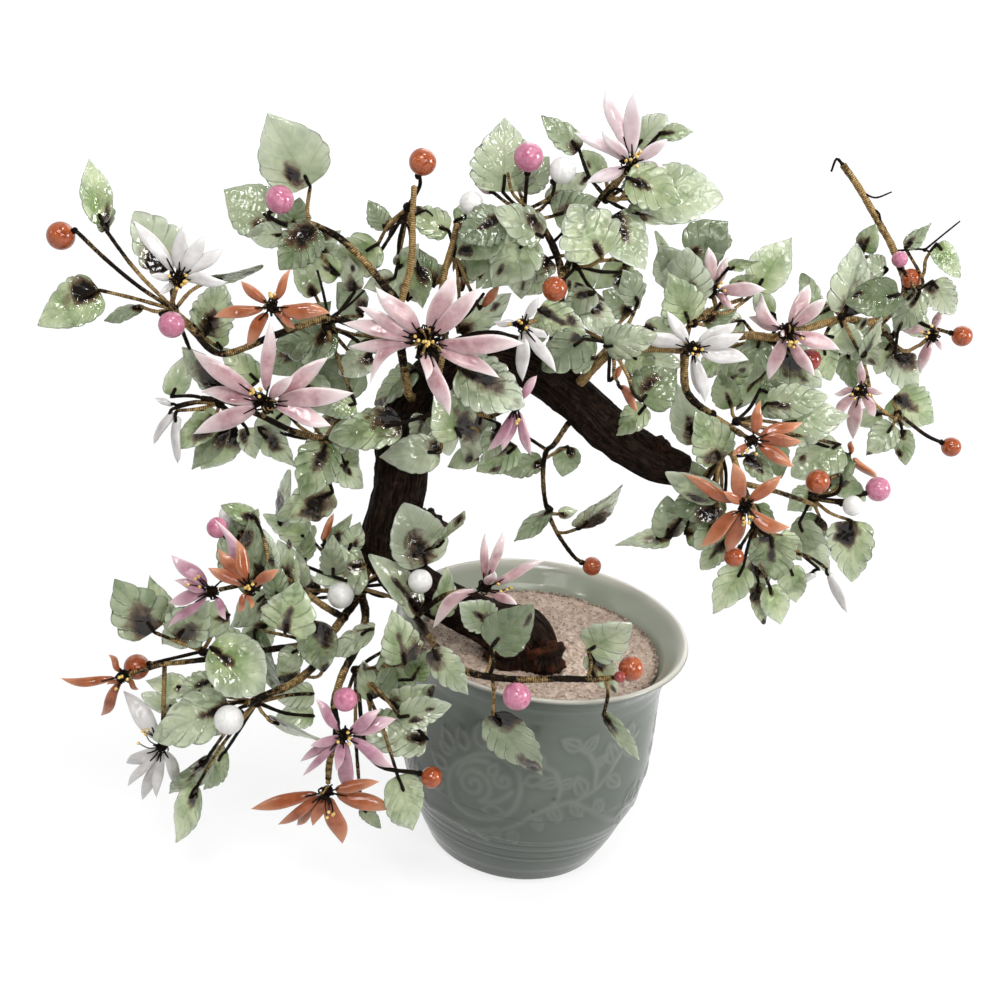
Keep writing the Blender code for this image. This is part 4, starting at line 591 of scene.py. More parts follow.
class Layout:
    """Places every wire, flower, bead and leaf and keeps them apart."""

    def __init__(self, solids):
        self.crowd = Crowd()
        self.shapes, self.wires, self.arms = {}, {}, {}
        for node, mesh in solids:
            self.crowd.add(node, mesh, "solid")
        self.trunk = self.crowd.items[0][4]
        for node, wires in list(BOUGHS.items()) + list(SPRAY_WIRES.items()):
            self.place_wires(node, wires)
        for node, flower in FLOWERS.items():
            self.place_flower(node, *flower)
        for node, spray in SPRAYS.items():
            self.place_spray(node, *spray)

    def keep(self, node, shape, kind):
        self.shapes.setdefault(node, []).append(shape)
        self.crowd.add(node, shape_mesh(shape), kind)

    def keep_arm(self, node, stalk, end, kind):
        """A bead or a leaf of a spray together with its thin wire."""
        self.arms.setdefault(node, []).append((stalk, end))
        self.crowd.add(node, shape_mesh(stalk), "petiole")
        self.crowd.add(node, shape_mesh(end), kind)

    def place_wires(self, node, wires):
        for index, (radius, path) in enumerate(wires):
            line = [spot(*p) for p in path]
            for seat in SEATS:
                if index == 0:
                    point, normal = self.trunk.find_nearest(line[0])[:2]
                    start = [point + normal * seat, point + normal * (seat + SEAT_RISE * radius)]
                else:
                    start = [self.nearest(node, line[0])[0]]
                points = start + line[1:]
                last = len(points) - 1
                radii = [radius * (1.0 - WIRE_TAPER * i / last) for i in range(last + 1)]
                shape = ("wire", points, radii)
                if not self.crowd.hits(node, shape_mesh(shape, WIRE_CLEARANCE)):
                    break
            self.wires.setdefault(node, []).append((points, radii))
            self.keep(node, shape, "wire")

    def nearest(self, node, target):
        """Closest point on the node's wires: point, wire direction, radius."""
        best = None
        for points, radii in self.wires[node]:
            for i in range(len(points) - 1):
                span = points[i + 1] - points[i]
                share = (target - points[i]).dot(span) / span.length_squared
                share = min(max(share, 0.0), 1.0)
                point = points[i] + span * share
                radius = radii[i] + (radii[i + 1] - radii[i]) * share
                away = (point - target).length
                if best is None or away < best[0]:
                    best = (away, point, span.normalized(), radius)
        return best[1:]

    def reach(self, node, start, end, radius, trim):
        """A thin wire from start to end that keeps clear; None if there is none."""
        way = (end - start).normalized()
        end = end - way * trim
        side = across(way, VIEWPOINT - start)
        for bulge in BULGES:
            for k in range(8 if bulge else 1):
                middle = start.lerp(end, 0.5) + rolled(way, side, math.pi * k / 4.0) * bulge
                points = [start, middle, end] if bulge else [start, end]
                shape = ("wire", points, [radius] * len(points))
                if not self.crowd.hits(node, shape_mesh(shape, STEM_CLEARANCE)):
                    return shape
        return None

    def place_flower(self, node, hue, bough, hub, petals):
        x, z, level = hub
        for shift in SHIFTS:
            centre = spot(x, z, level + shift)
            shape = ("ball", centre, HUB_RADIUS, *HUB_BALL, hue)
            if self.crowd.hits(node, shape_mesh(shape, CLEARANCE)):
                continue
            root = self.nearest(bough, centre)[0]
            stem = self.reach(bough, root, centre, HUB_STEM, HUB_RADIUS + SEAT_GAP)
            if stem:
                break
        else:
            return
        self.keep(bough, stem, "wire")
        self.keep(node, shape, "hub")
        for index, petal in enumerate(petals):
            self.place_petal(node, hue, level + shift, centre, ROLLS[index % len(ROLLS)], *petal)

    def place_petal(self, node, hue, level, centre, roll, x, z, width, out=0.0, sway=0.0):
        out = out + level
        broad = width * nearness(x, z, out) * PETAL_SLIMNESS
        for extra in SHIFTS:
            tip = spot(x, z, out + extra)
            way = (tip - centre).normalized()
            face = rolled(way, across(way, VIEWPOINT - centre), roll)
            blade = Blade("petal", centre + way * PETAL_FOOT, tip, broad, face, PETAL_ARCH, sway,
                          hue)
            if not self.crowd.hits(node, blade.mesh(CLEARANCE)):
                self.keep(node, ("blade", blade), "petal")
                return

    def place_knot(self, node, bough, near, leaves):
        """Knot of a spray: a small ball beside the bough's wire."""
        anchor, way, radius = self.nearest(bough, spot(*near))
        middle = sum((spot(l[0], l[1], near[2] + l[5]) for l in leaves), Vector()) / len(leaves)
        side = across(way, middle - anchor)
        for slide in KNOT_SLIDES:
            for k in KNOT_TURNS:
                direction = rolled(way, side, math.pi * k / 4.0)
                centre = anchor + way * slide + direction * (radius + SEAT_GAP + KNOT_RADIUS)
                shape = ("ball", centre, KNOT_RADIUS, *KNOT_BALL, "knot")
                gap = (self.nearest(bough, centre)[0] - centre).length - radius - KNOT_RADIUS
                if gap < KNOT_GAPS[0] or gap > KNOT_GAPS[1]:
                    continue
                if not self.crowd.hits(node, shape_mesh(shape, KNOT_CLEARANCE)):
                    return shape
        return None

    def place_spray(self, node, bough, near, leaves, beads, odd):
        knot = None
        if bough:
            knot = self.place_knot(node, bough, near, leaves)
            if knot is None:
                return
            self.keep(node, knot, "knot")
        for bead in beads:
            self.place_bead(node, knot, *bead)
        for index, (hue, *blade) in enumerate(odd):
            self.place_blade(node, knot, "petal", hue, index, near[2], *blade)
        for index, blade in enumerate(leaves):
            self.place_blade(node, knot, "leaf", "leaf", index, near[2], *blade)

    def root(self, node, knot, target):
        """Where a thin wire to `target` starts: on the knot or on the spray's wires."""
        if knot:
            return knot[1] + (target - knot[1]).normalized() * KNOT_RADIUS * KNOT_DEPTH
        return self.nearest(node, target)[0]

    def place_bead(self, node, knot, hue, x, z, out, size, ways):
        for shift in SHIFTS:
            centre = spot(x, z, out + shift)
            radius = size * 0.5 * nearness(x, z, out + shift)
            shape = ("ball", centre, radius, *BALL, hue)
            if self.crowd.hits(node, shape_mesh(shape, CLEARANCE), ("bead",)):
                continue
            stem = self.bead_stem(node, knot, centre, radius, ways)
            if stem:
                self.keep_arm(node, stem, shape, "bead")
                return

    def bead_stem(self, node, knot, centre, radius, ways):
        start = self.root(node, knot, centre)
        if not ways:
            return self.reach(node, start, centre, BEAD_STEM, radius * BEAD_DEPTH)
        points = [start] + [spot(*w) for w in ways]
        points.append(centre + (points[-1] - centre).normalized() * radius * BEAD_DEPTH)
        shape = ("wire", points, [BENT_BEAD_STEM] * len(points))
        return None if self.crowd.hits(node, shape_mesh(shape, STEM_CLEARANCE)) else shape

    def place_blade(self, node, knot, kind, hue, index, level, x0, z0, x1, z1, width, out):
        out = out + level
        slimness = PETAL_SLIMNESS if kind == "petal" else 1.0
        for shift in SHIFTS:
            base = spot(x0, z0, out + shift)
            tip = spot(x1, z1, out + shift + TILTS[index % len(TILTS)])
            broad = width * nearness(x0, z0, out + shift) * slimness
            full = max(broad, 0.5 * (tip - base).length)
            roll = math.acos(min(broad / full, 1.0))
            way = (tip - base).normalized()
            for turn in (roll, -roll):
                face = rolled(way, across(way, VIEWPOINT - base), turn + ROLLS[index % len(ROLLS)])
                blade = Blade(kind, base, tip, full, face, LEAF_ARCH, hue=hue)
                if self.crowd.hits(node, blade.mesh(CLEARANCE), ("leaf", "bead", "petal")):
                    continue
                stalk = self.reach(node, self.root(node, knot, base), base, PETIOLE_RADIUS, 0.0)
                if stalk:
                    self.keep_arm(node, stalk, ("blade", blade), kind)
                    return


# ----------------------------------------------------------------- skins ---
class Skin:
    """Vertices, faces and painted values of one piece, in millimetres.

    Faces are rows of four corners; the last corner of a triangle repeats its first.
    """

    def __init__(self):
        self.verts, self.faces, self.values, self.count = [], [], {}, 0

    def add(self, verts, faces, **values):
        verts = np.asarray(verts, dtype=float).reshape(-1, 3)
        faces = np.asarray(faces, dtype=int)
        for key in values:
            self.values.setdefault(key, [np.zeros(self.count)] if self.count else [])
        for key, parts in self.values.items():
            value = np.asarray(values.get(key, 0.0), dtype=float)
            parts.append(np.broadcast_to(value, (len(verts),)))
        self.verts.append(verts)
        self.faces.append(faces + self.count)
        self.count += len(verts)

    def piece(self, name, material, slot=None, nodes=()):
        """The Blender object, riding on the part and standing for `nodes`."""
        mesh = bpy.data.meshes.new(name)
        verts = np.concatenate(self.verts) * MM
        faces = [tuple(f[:3] if f[-1] == f[0] else f)
                 for group in self.faces for f in group.tolist()]
        mesh.from_pydata(verts.tolist(), [], faces)
        for key, parts in self.values.items():
            layer = mesh.attributes.new(key, "FLOAT", "POINT")
            layer.data.foreach_set("value", np.concatenate(parts).astype(np.float32))
        mesh.shade_smooth()
        mesh.materials.append(material)
        thing = bpy.data.objects.new(name, mesh)
        bpy.context.scene.collection.objects.link(thing)
        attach(thing, "root")
        if nodes:
            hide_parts(*nodes)


def row(vector):
    """A Vector as a numpy row."""
    return np.array(tuple(vector))


def unit(v):
    return v / np.maximum(np.linalg.norm(v, axis=-1, keepdims=True), 1e-9)


def held(value):
    """The value, but no less than 0 and no more than 1."""
    return np.clip(value, 0, 1)


def square_to(way):
    """A unit vector square to `way`."""
    return np.array(Vector(way).orthogonal().normalized())


def circle(count):
    """Angles of `count` points spread evenly around a circle."""
    return 2 * np.pi * np.arange(count) / count


def loft_faces(rings, around):
    """Quads between rings of points, and a fan at both ends around the last two points."""
    i = np.arange(rings - 1)[:, None] * around
    k = np.arange(around)
    n = (k + 1) % around
    quads = np.stack([i + k, i + n, i + n + around, i + k + around], -1).reshape(-1, 4)
    first, last, top = rings * around, rings * around + 1, (rings - 1) * around
    low = np.stack([n, k, np.full(around, first), n], -1)
    high = np.stack([top + k, top + n, np.full(around, last), top + k], -1)
    return np.concatenate([quads, low, high])


def smooth_path(points, step):
    """Catmull-Rom curve through the points, sampled about every `step`."""
    p = np.array([tuple(q) for q in points], dtype=float)
    if len(p) == 2:
        count = max(int(np.linalg.norm(p[1] - p[0]) / step), 1) + 1
        shares = np.linspace(0, 1, count)
        return p[0] + (p[1] - p[0]) * shares[:, None], shares
    ends = np.vstack([2 * p[0] - p[1], p, 2 * p[-1] - p[-2]])
    places, shares = [], []
    for i in range(len(p) - 1):
        a, b, c, d = ends[i:i + 4]
        count = max(int(np.linalg.norm(c - b) / step), 1)
        t = np.linspace(0, 1, count, endpoint=False)[:, None]
        places.append(0.5 * (2 * b + (c - a) * t + (2 * a - 5 * b + 4 * c - d) * t ** 2
                             + (3 * b - a - 3 * c + d) * t ** 3))
        shares.append((i + t[:, 0]) / (len(p) - 1))
    return np.vstack(places + [p[-1:]]), np.concatenate(shares + [[1.0]])


def path_frames(path):
    """At each point of a path: its way, two sides square to it, and the length so far."""
    ways = unit(np.gradient(path, axis=0))
    side, sides = square_to(ways[0]), []
    for way in ways:
        side = unit(side - way * side.dot(way))
        sides.append(side)
    steps = np.linalg.norm(np.diff(path, axis=0), axis=1)
    return ways, np.array(sides), np.cross(ways, sides), np.concatenate([[0.0], np.cumsum(steps)])


def tube(path, sides, others, angle, radius):
    """Rings of points around a path; `radius` has one row for each point."""
    ring = (sides[:, None] * np.cos(angle)[None, :, None]
            + others[:, None] * np.sin(angle)[None, :, None])
    return (path[:, None] + ring * radius[..., None]).reshape(-1, 3)


def pipe(points, radii, around, step, rough, seed):
    """Round wire along a smooth path: points, faces, length along and share around."""
    path, shares = smooth_path(points, step)
    radius = np.interp(shares, np.linspace(0, 1, len(radii)), radii)
    ways, sides, others, length = path_frames(path)
    if rough:
        wave = np.sin(length * 1.7 + seed) * 0.5 + np.sin(length * 0.63 + 2.1 * seed) * 0.5
        radius = radius * (1.0 + rough * wave)
    verts = tube(path, sides, others, circle(around), radius[:, None])
    first, last = ways[0] * radius[0] * 0.3, ways[-1] * radius[-1] * 0.5
    along = np.concatenate([np.repeat(length, around), [0.0, length[-1]]])
    turn = np.concatenate([np.tile(np.arange(around) / around, len(path)), [0.0, 0.0]])
    verts = np.vstack([verts, path[0] - first, path[-1] + last])
    return verts, loft_faces(len(path), around), along, turn


def pearl(centre, radius, way, around, rows, dent=0.0):
    """Round bead with its poles on its wire, sunk a little there by `dent`."""
    way = unit(row(way))
    side = square_to(way)
    polar = np.pi * (np.arange(rows) + 0.5) / rows
    angle = circle(around)
    height = -np.cos(polar) * (1.0 - dent * np.exp(-(np.sin(polar) / 0.3) ** 2))
    ring = side * np.cos(angle)[:, None] + np.cross(way, side) * np.sin(angle)[:, None]
    verts = way * height[:, None, None] + ring[None] * np.sin(polar)[:, None, None]
    verts = np.vstack([verts.reshape(-1, 3), -way * (1 - dent), way * (1 - dent)])
    return row(centre) + verts * radius, loft_faces(rows, around)


# ---------------------------------------------------------------- blades ---
# A quarter of the points around a section, and the rows along a blade.
LEAF_HALF, PETAL_HALF, PETAL_ROWS = 6, 5, 16
LEAF_ROWS, LEAF_ROWS_PER_MM, MOST_LEAF_ROWS = 12, 0.6, 29
# A leaf is drawn somewhat wider and longer than its plain solid; half its body's thickness.
LEAF_FULL, LEAF_LONG, CROWN = 1.12, 1.05, LEAF_THICKNESS * 0.5
# Depth of the cuts between lobes; some leaves are plainer, by this share and this much.
LOBE_DEPTH, PLAIN_SHARE, PLAIN_LOBES = 0.19, 0.40, 0.45
LEAF_CURL, CURL_START, CURL_POWER = 3.6, 0.45, 1.5
RIB_WIDTH = 0.09
# Where a petal's glass starts, half its thickness, its length for its width, how deep it lies.
PETAL_START, PETAL_ROUND, PETAL_SLENDER, PETAL_DEPTH = 0.10, 1.5, 3.4, 0.4 * PETAL_THICKNESS
PETAL_CURL_START, PETAL_CURL_POWER = 0.4, 1.6


def blade_grid(rows, half):
    """Sections of a blade: share along, share across (-1 to 1) and front or back."""
    t = np.linspace(0, 1, rows + 2)[1:-1]
    t = 0.5 * t + 0.25 * (1 - np.cos(np.pi * t))
    turn = circle(4 * half)
    return t[:, None], -np.cos(turn)[None, :], np.sin(turn)[None, :]


def blade_points(blade, t, reach, lift):
    """Points at share t along, `reach` sideways and `lift` off the face."""
    bend = np.sin(np.pi * t)
    run = t * blade.length + 0 * reach
    out = blade.arch * blade.length * bend + lift
    sway = blade.sway * blade.length * bend + reach
    return (row(blade.base) + row(blade.way) * run[..., None] + row(blade.face) * out[..., None]
            + row(blade.side) * sway[..., None]).reshape(-1, 3)


def with_ends(values, first, last):
    """Values of a grid in one row, followed by those of its two end points."""
    return np.concatenate([np.asarray(values).reshape(-1), [first, last]])


def stains(rng, t, s, half, length):
    """Smoky dark patches melted into a leaf near its foot, and a streak in its middle."""
    total = np.zeros(np.broadcast(t, s).shape)
    patches = []
    for share, along, aside, sizes in ((0.68, (-0.02, 0.34), 0.55, (0.16, 0.34)),
                                       (0.25, (0.55, 0.98), 0.6, (0.08, 0.15))):
        if rng.uniform() < share:
            patches.append((rng.uniform(*along), rng.uniform(-aside, aside), rng.uniform(*sizes)))
    for t0, s0, size in patches:
        broad = size * rng.uniform(0.35, 0.8) * length
        gap = ((t - t0) / size) ** 2 + ((s - s0) * half / broad) ** 2
        total = np.maximum(total, rng.uniform(0.7, 1.0) * np.exp(-gap))
    if rng.uniform() < 0.3:
        reach = rng.uniform(0.3, 0.7)
        streak = 0.7 * np.exp(-(s / RIB_WIDTH) ** 2) * held((reach - t) * 6)
        total = np.maximum(total, streak)
    return total


def leaf(skin, blade, seed):
    """Moulded glass leaf: puffed lobes that overlap like a fan, folded at the middle."""
    rng = np.random.default_rng(seed)
    rows = int(min(LEAF_ROWS + LEAF_ROWS_PER_MM * blade.length, MOST_LEAF_ROWS))
    t, s, front = blade_grid(rows, LEAF_HALF)
    swing, lobes = rng.uniform(-1, 1, 4), rng.integers(4, 7)
    plain = PLAIN_LOBES if rng.uniform() < PLAIN_SHARE else 1.0
    blunt = rng.uniform(0.2, 0.6)
    outline = np.sin(np.pi * t ** rng.uniform(0.56, 0.72)) ** (0.5 + blunt * t)
    half = 0.5 * LEAF_FULL * blade.width * outline
    # The lobes run outwards and up: q counts them, and saw is the place within one.
    q = (t + 0.30 * (1 - np.abs(s))) * lobes + 0.3 * swing[0] * s + swing[1]
    saw = q - np.floor(q)
    window = held((t - 0.05) * 9) * held((0.97 - t) * 9)
    depth = LOBE_DEPTH * plain * window
    edge = (1.0 - depth * np.exp(-saw * 4.5) - 0.55 * depth * saw ** 6
            + 0.15 * depth * np.sin(np.pi * saw))
    outer = np.abs(s) ** 0.7 * window * plain
    pillow = 0.55 * (np.sin(np.pi * saw) ** 0.6 - 0.6) + 0.35 * (saw - 0.5)
    rib = np.exp(-(s / RIB_WIDTH) ** 2) * held((0.92 - t) * 4) * held(front)
    body = front * CROWN * (0.5 + 0.45 * np.sin(np.pi * t ** 0.8) ** 0.5) * (1 - 0.3 * s ** 2)
    wave = (1.0 * np.sin(5.5 * t + 3 * swing[2]) * s * np.abs(s)
            + 0.36 * swing[0] * (t - 0.3) * s * half)
    cup = (0.08 + 0.2 * swing[2]) * half * np.abs(s) ** 1.4
    curl = swing[3] * LEAF_CURL * held(t - CURL_START) ** CURL_POWER
    lift = (body + outer * pillow * held(front + 0.3) - 0.3 * rib + wave + cup + curl
            - CROWN)
    tip_lift = swing[3] * LEAF_CURL * (1 - CURL_START) ** CURL_POWER - CROWN
    verts = blade_points(blade, LEAF_LONG * t + 0 * s, s * half * edge, lift)
    tips = blade_points(blade, np.array([0.0, LEAF_LONG]), np.zeros(2),
                        np.array([-CROWN, tip_lift]))
    flat = 0 * t * s
    skin.add(np.vstack([verts, tips]), loft_faces(rows, 4 * LEAF_HALF),
             stain=with_ends(stains(rng, t, s, half, blade.length), 0, 0),
             lobe=with_ends(q, q[0, 0], q[-1, 0]), across=with_ends(s + flat, 0, 0),
             crease=with_ends(outer + flat, 0, 0),
             # pale: paler toward the tip and the edges, partly painted light.
             pale=with_ends(t ** 2 * 0.5 + s ** 4 * 0.5 + flat, 0, 1),
             shade=rng.uniform(), tint=rng.uniform())


def petal(skin, blade, seed):
    """Thick glass petal: a blunt foot, a full rounded middle and a pale drawn-out tip."""
    rng = np.random.default_rng(seed)
    t, s, front = blade_grid(PETAL_ROWS, PETAL_HALF)
    widest = rng.uniform(0.42, 0.56)
    wide = min(blade.width, blade.length / PETAL_SLENDER)
    rise = 1 - (1 - held(t / widest)) ** 2
    past = held((t - widest) / (1 - widest))
    fall = (0.86 * (1 - held(past / 0.92) ** rng.uniform(1.7, 2.3))
            + 0.14 * (1 - past))
    half = 0.5 * wide * (0.30 + 0.70 * rise) * fall * held(t / 0.06) ** 0.5
    thick = PETAL_ROUND * np.minimum(1.0, half / 1.6) * (1.15 - 0.5 * t)
    bend = rng.uniform(-5.0, 5.5)
    curl = bend * held(t - PETAL_CURL_START) ** PETAL_CURL_POWER
    dish = rng.uniform(-0.1, 0.16) * half * s ** 2
    groove = rng.uniform(0.0, 0.5) * np.exp(-(s / 0.22) ** 2) * held(front) * fall
    lift = front * thick + dish + curl - groove - PETAL_DEPTH
    hooked = rng.uniform(-3.0, 3.0)
    sway = (rng.uniform(-1.0, 1.0) * np.sin(2 * np.pi * t) * 0.7
            + hooked * held(t - 0.5) ** 2)
    share = PETAL_START + (1 - PETAL_START) * t
    tip_lift = bend * (1 - PETAL_CURL_START) ** PETAL_CURL_POWER
    verts = blade_points(blade, share + 0 * s, s * half + sway, lift)
    tips = blade_points(blade, np.array([PETAL_START, 1.0]), np.array([0.0, hooked * 0.25]),
                        np.array([0.0, tip_lift]) - PETAL_DEPTH)
    skin.add(np.vstack([verts, tips]), loft_faces(PETAL_ROWS, 4 * PETAL_HALF),
             tip=with_ends(t + 0 * s, 0, 1), rim=with_ends(np.abs(s) ** 6 + 0 * t, 0, 1),
             shade=rng.uniform())


# ------------------------------------------------------------- materials ---
# Leaf glass: its greens, from deep to nearly white, and the dark melted into it. The crease and
# edge greens are painted shade, the lobe green painted light and shade, the pale green partly
# painted light, and the glint a painted highlight.
DEEP_GREEN, CLOUD_GREEN, MILKY_GREEN = (0.21, 0.32, 0.09), (0.61, 0.68, 0.39), (0.50, 0.54, 0.40)
DARK_GREEN, LIT_LOBE_GREEN, PALE_AND_LIT_GREEN = (0.10, 0.15, 0.065), (0.70, 0.78, 0.56), (0.90, 0.94, 0.83)
CREASE_SHADE_GREEN, EDGE_SHADE_GREEN, GLINT_GREEN = (0.08, 0.14, 0.04), (0.06, 0.08, 0.04), (0.94, 0.97, 0.89)
SMOKE, SOOT = (0.115, 0.047, 0.022), (0.006, 0.0025, 0.001)
# Petals: deep parts, body and pale tips.  Beads: veins and body.
PETAL_COLOURS = {
    "pink": ((0.33, 0.135, 0.155), (0.64, 0.425, 0.435), (0.95, 0.87, 0.855)),
    "rose": ((0.30, 0.105, 0.17), (0.50, 0.255, 0.33), (0.84, 0.66, 0.68)),
    "orange": ((0.22, 0.042, 0.009), (0.43, 0.122, 0.043), (0.68, 0.34, 0.20)),
    "white": ((0.50, 0.47, 0.455), (0.73, 0.71, 0.695), (0.80, 0.79, 0.78)),
    "blush": ((0.60, 0.42, 0.46), (0.76, 0.61, 0.63), (0.88, 0.84, 0.84))}
BEAD_COLOURS = {
    "pink": ((0.42, 0.11, 0.20), (0.56, 0.23, 0.32)),
    "orange": ((0.22, 0.035, 0.009), (0.42, 0.105, 0.033)),
    "white": ((0.66, 0.65, 0.62), (0.80, 0.79, 0.77)),
    "crimson": ((0.16, 0.018, 0.016), (0.32, 0.05, 0.04))}
# Thread, bark, glaze and sand.
BLACK_THREAD, BROWN_THREAD = (0.003, 0.0015, 0.0005), (0.030, 0.014, 0.005)
DULL_GOLD, BRIGHT_GOLD = (0.20, 0.11, 0.03), (0.56, 0.39, 0.18)
TIP_SHADOW, TIP_GOLD = (0.50, 0.30, 0.06), (0.88, 0.64, 0.22)
BLACK_BARK, BROWN_BARK = (0.002, 0.001, 0.0005), (0.050, 0.028, 0.018)
WORN_BARK, RUDDY_BARK = (0.12, 0.078, 0.055), (0.17, 0.045, 0.018)
DARK_GLAZE, GLAZE = (0.096, 0.114, 0.094), (0.136, 0.156, 0.130)
# Darker glaze in grooves and pits, and painted shade beside the scroll and toward the foot.
POOLED_AND_SHADED_GLAZE = (0.055, 0.066, 0.055)
# Paler glaze on the raised scroll and lighter glaze of the inside wall: painted light.
RAISED_LIT_GLAZE, LIT_LINING_GLAZE = (0.235, 0.25, 0.222), (0.31, 0.335, 0.265)
# A pale line along the top of the lip, and a near-black painted shadow at the foot.
PALE_RIM_LINE, FOOT_SHADOW = (0.52, 0.50, 0.43), (0.012, 0.012, 0.011)
SAND_SHADOW, SAND_LIGHT = (0.36, 0.26, 0.20), (0.60, 0.48, 0.39)
DARK_GRAIN, CRUMB = (0.10, 0.065, 0.045), (0.11, 0.075, 0.05)


class Shader:
    """Short hand for building a node material."""

    def __init__(self, name):
        self.mat = bpy.data.materials.new(name)
        self.mat.use_nodes = True
        self.tree = self.mat.node_tree
        self.main = self.tree.nodes["Principled BSDF"]
        self.place = self.node("ShaderNodeTexCoord").outputs["Object"]

    def node(self, kind, **settings):
        made = self.tree.nodes.new(kind)
        for key, value in settings.items():
            setattr(made, key, value)
        return made

    def link(self, source, target):
        self.tree.links.new(source, target)

    def feed(self, socket, value):
        if isinstance(value, bpy.types.NodeSocket):
            self.link(value, socket)
        elif isinstance(value, tuple) and len(value) == 3 and socket.type == "RGBA":
            socket.default_value = (*value, 1.0)
        else:
            socket.default_value = value

    def set(self, **values):
        """Inputs of the main shader; an underscore stands for a blank."""
        for key, value in values.items():
            self.feed(self.main.inputs[key.replace("_", " ")], value)

    def noise(self, scale, detail=3.0, rough=0.55, source=None, distort=0.0):
        made = self.node("ShaderNodeTexNoise")
        for key, value in (("Scale", scale), ("Detail", detail), ("Roughness", rough),
                           ("Distortion", distort), ("Vector", source or self.place)):
            self.feed(made.inputs[key], value)
        return made.outputs["Fac"]

    def paint(self, name):
        """A value that is painted on the vertices."""
        return self.node("ShaderNodeAttribute", attribute_name=name).outputs["Fac"]

    def span(self, value, low, high, start=0.0, end=1.0):
        """`value` between low and high, spread over start to end."""
        made = self.node("ShaderNodeMapRange")
        for key, number in (("Value", value), ("From Min", low), ("From Max", high),
                            ("To Min", start), ("To Max", end)):
            self.feed(made.inputs[key], number)
        return made.outputs["Result"]

    def maths(self, operation, *values):
        made = self.node("ShaderNodeMath", operation=operation)
        for socket, value in zip(made.inputs, values):
            self.feed(socket, value)
        return made.outputs["Value"]

    def times(self, first, second):
        return self.maths("MULTIPLY", first, second)

    def plus(self, first, second):
        return self.maths("ADD", first, second)

    def less(self, first, second):
        return self.maths("SUBTRACT", first, second)

    def mix(self, share, first, second):
        made = self.node("ShaderNodeMix", data_type="RGBA")
        self.feed(made.inputs["Factor"], share)
        self.feed(made.inputs[6], first)
        self.feed(made.inputs[7], second)
        return made.outputs[2]

    def gloss(self, value, low, high):
        """Roughness between low and high where `value` is middling."""
        self.set(Roughness=self.span(value, 0.3, 0.7, low, high))

    def glass(self, clear, milky, depths):
        """How much light passes straight through, and how much scatters inside."""
        self.set(IOR=1.5, Transmission_Weight=clear, Subsurface_Weight=milky,
                 Subsurface_Radius=depths, Subsurface_Scale=0.002)

    def bump(self, height, strength, distance):
        made = self.node("ShaderNodeBump")
        for key, value in (("Strength", strength), ("Distance", distance), ("Height", height)):
            self.feed(made.inputs[key], value)
        self.link(made.outputs["Normal"], self.main.inputs["Normal"])


def leaf_glass():
    """Clear green glass with moulded creases, pale tips and smoky patches, and painted shade and
    light on its creases, lobes and edges.
    """
    s = Shader("leaf_glass")
    cloud, fine = s.noise(95.0, 3.0, 0.6), s.noise(380.0, 2.0, 0.65)
    saw, crease = s.maths("FRACT", s.paint("lobe")), s.paint("crease")
    shade, stain = s.paint("shade"), s.paint("stain")
    across_by = s.maths("ABSOLUTE", s.paint("across"))
    # Thin dark lines in the crease grooves and along the midrib: painted shade.
    line = s.span(s.maths("MINIMUM", saw, s.less(1.0, saw)), 0.0, 0.08, 1.0, 0.0)
    line = s.times(line, crease)
    glint = s.span(s.maths("ABSOLUTE", s.less(saw, 0.15)), 0.0, 0.06, 1.0, 0.0)
    glint = s.times(s.times(glint, crease), s.span(cloud, 0.42, 0.58))
    rib, rim = s.span(across_by, 0.0, 0.08, 1.0, 0.0), s.span(across_by, 0.93, 1.0)
    # A broken dark line along the leaf's edge: painted shade.
    rim = s.times(rim, s.span(fine, 0.42, 0.55, 0.0, 0.6))
    # Paler toward the tip and the edges: partly paler glass, partly painted light catching the
    # rim.
    pale = s.times(s.paint("pale"), s.span(shade, 0.1, 0.9, 0.1, 1.1))
    blot = s.less(s.noise(150.0, 2.0, 0.5, distort=0.8), 0.5)
    dark = s.times(s.plus(stain, s.times(blot, 1.1)), s.span(stain, 0.02, 0.12))
    colour = DEEP_GREEN
    for share, layer in (
            (s.span(cloud, 0.38, 0.62), CLOUD_GREEN),
            (s.span(s.paint("tint"), 0.2, 1.0, 0.0, 0.7), MILKY_GREEN),
            (s.span(shade, 0.0, 0.45, 0.75, 0.0), DARK_GREEN),
            # Each lobe lighter toward its raised outer side and darker into its crease: painted
            # light and shade.
            (s.times(saw, s.times(crease, 0.5)), LIT_LOBE_GREEN),
            (pale, PALE_AND_LIT_GREEN),
            (s.times(s.maths("MAXIMUM", line, rib), 0.19), CREASE_SHADE_GREEN),
            (rim, EDGE_SHADE_GREEN),
            (s.times(glint, 0.8), GLINT_GREEN),
            (s.span(dark, 0.15, 0.42, 0.0, 0.88), SMOKE),
            (s.span(dark, 0.40, 0.64, 0.0, 0.98), SOOT)):
        colour = s.mix(share, colour, layer)
    s.set(Base_Color=colour)
    s.gloss(fine, 0.04, 0.10)
    s.glass(0.55, 0.0, (1.0, 1.0, 0.6))
    s.bump(s.less(s.noise(210.0, 1.0, 0.4), s.times(line, 0.3)), 1.0, 0.0015)
    return s.mat


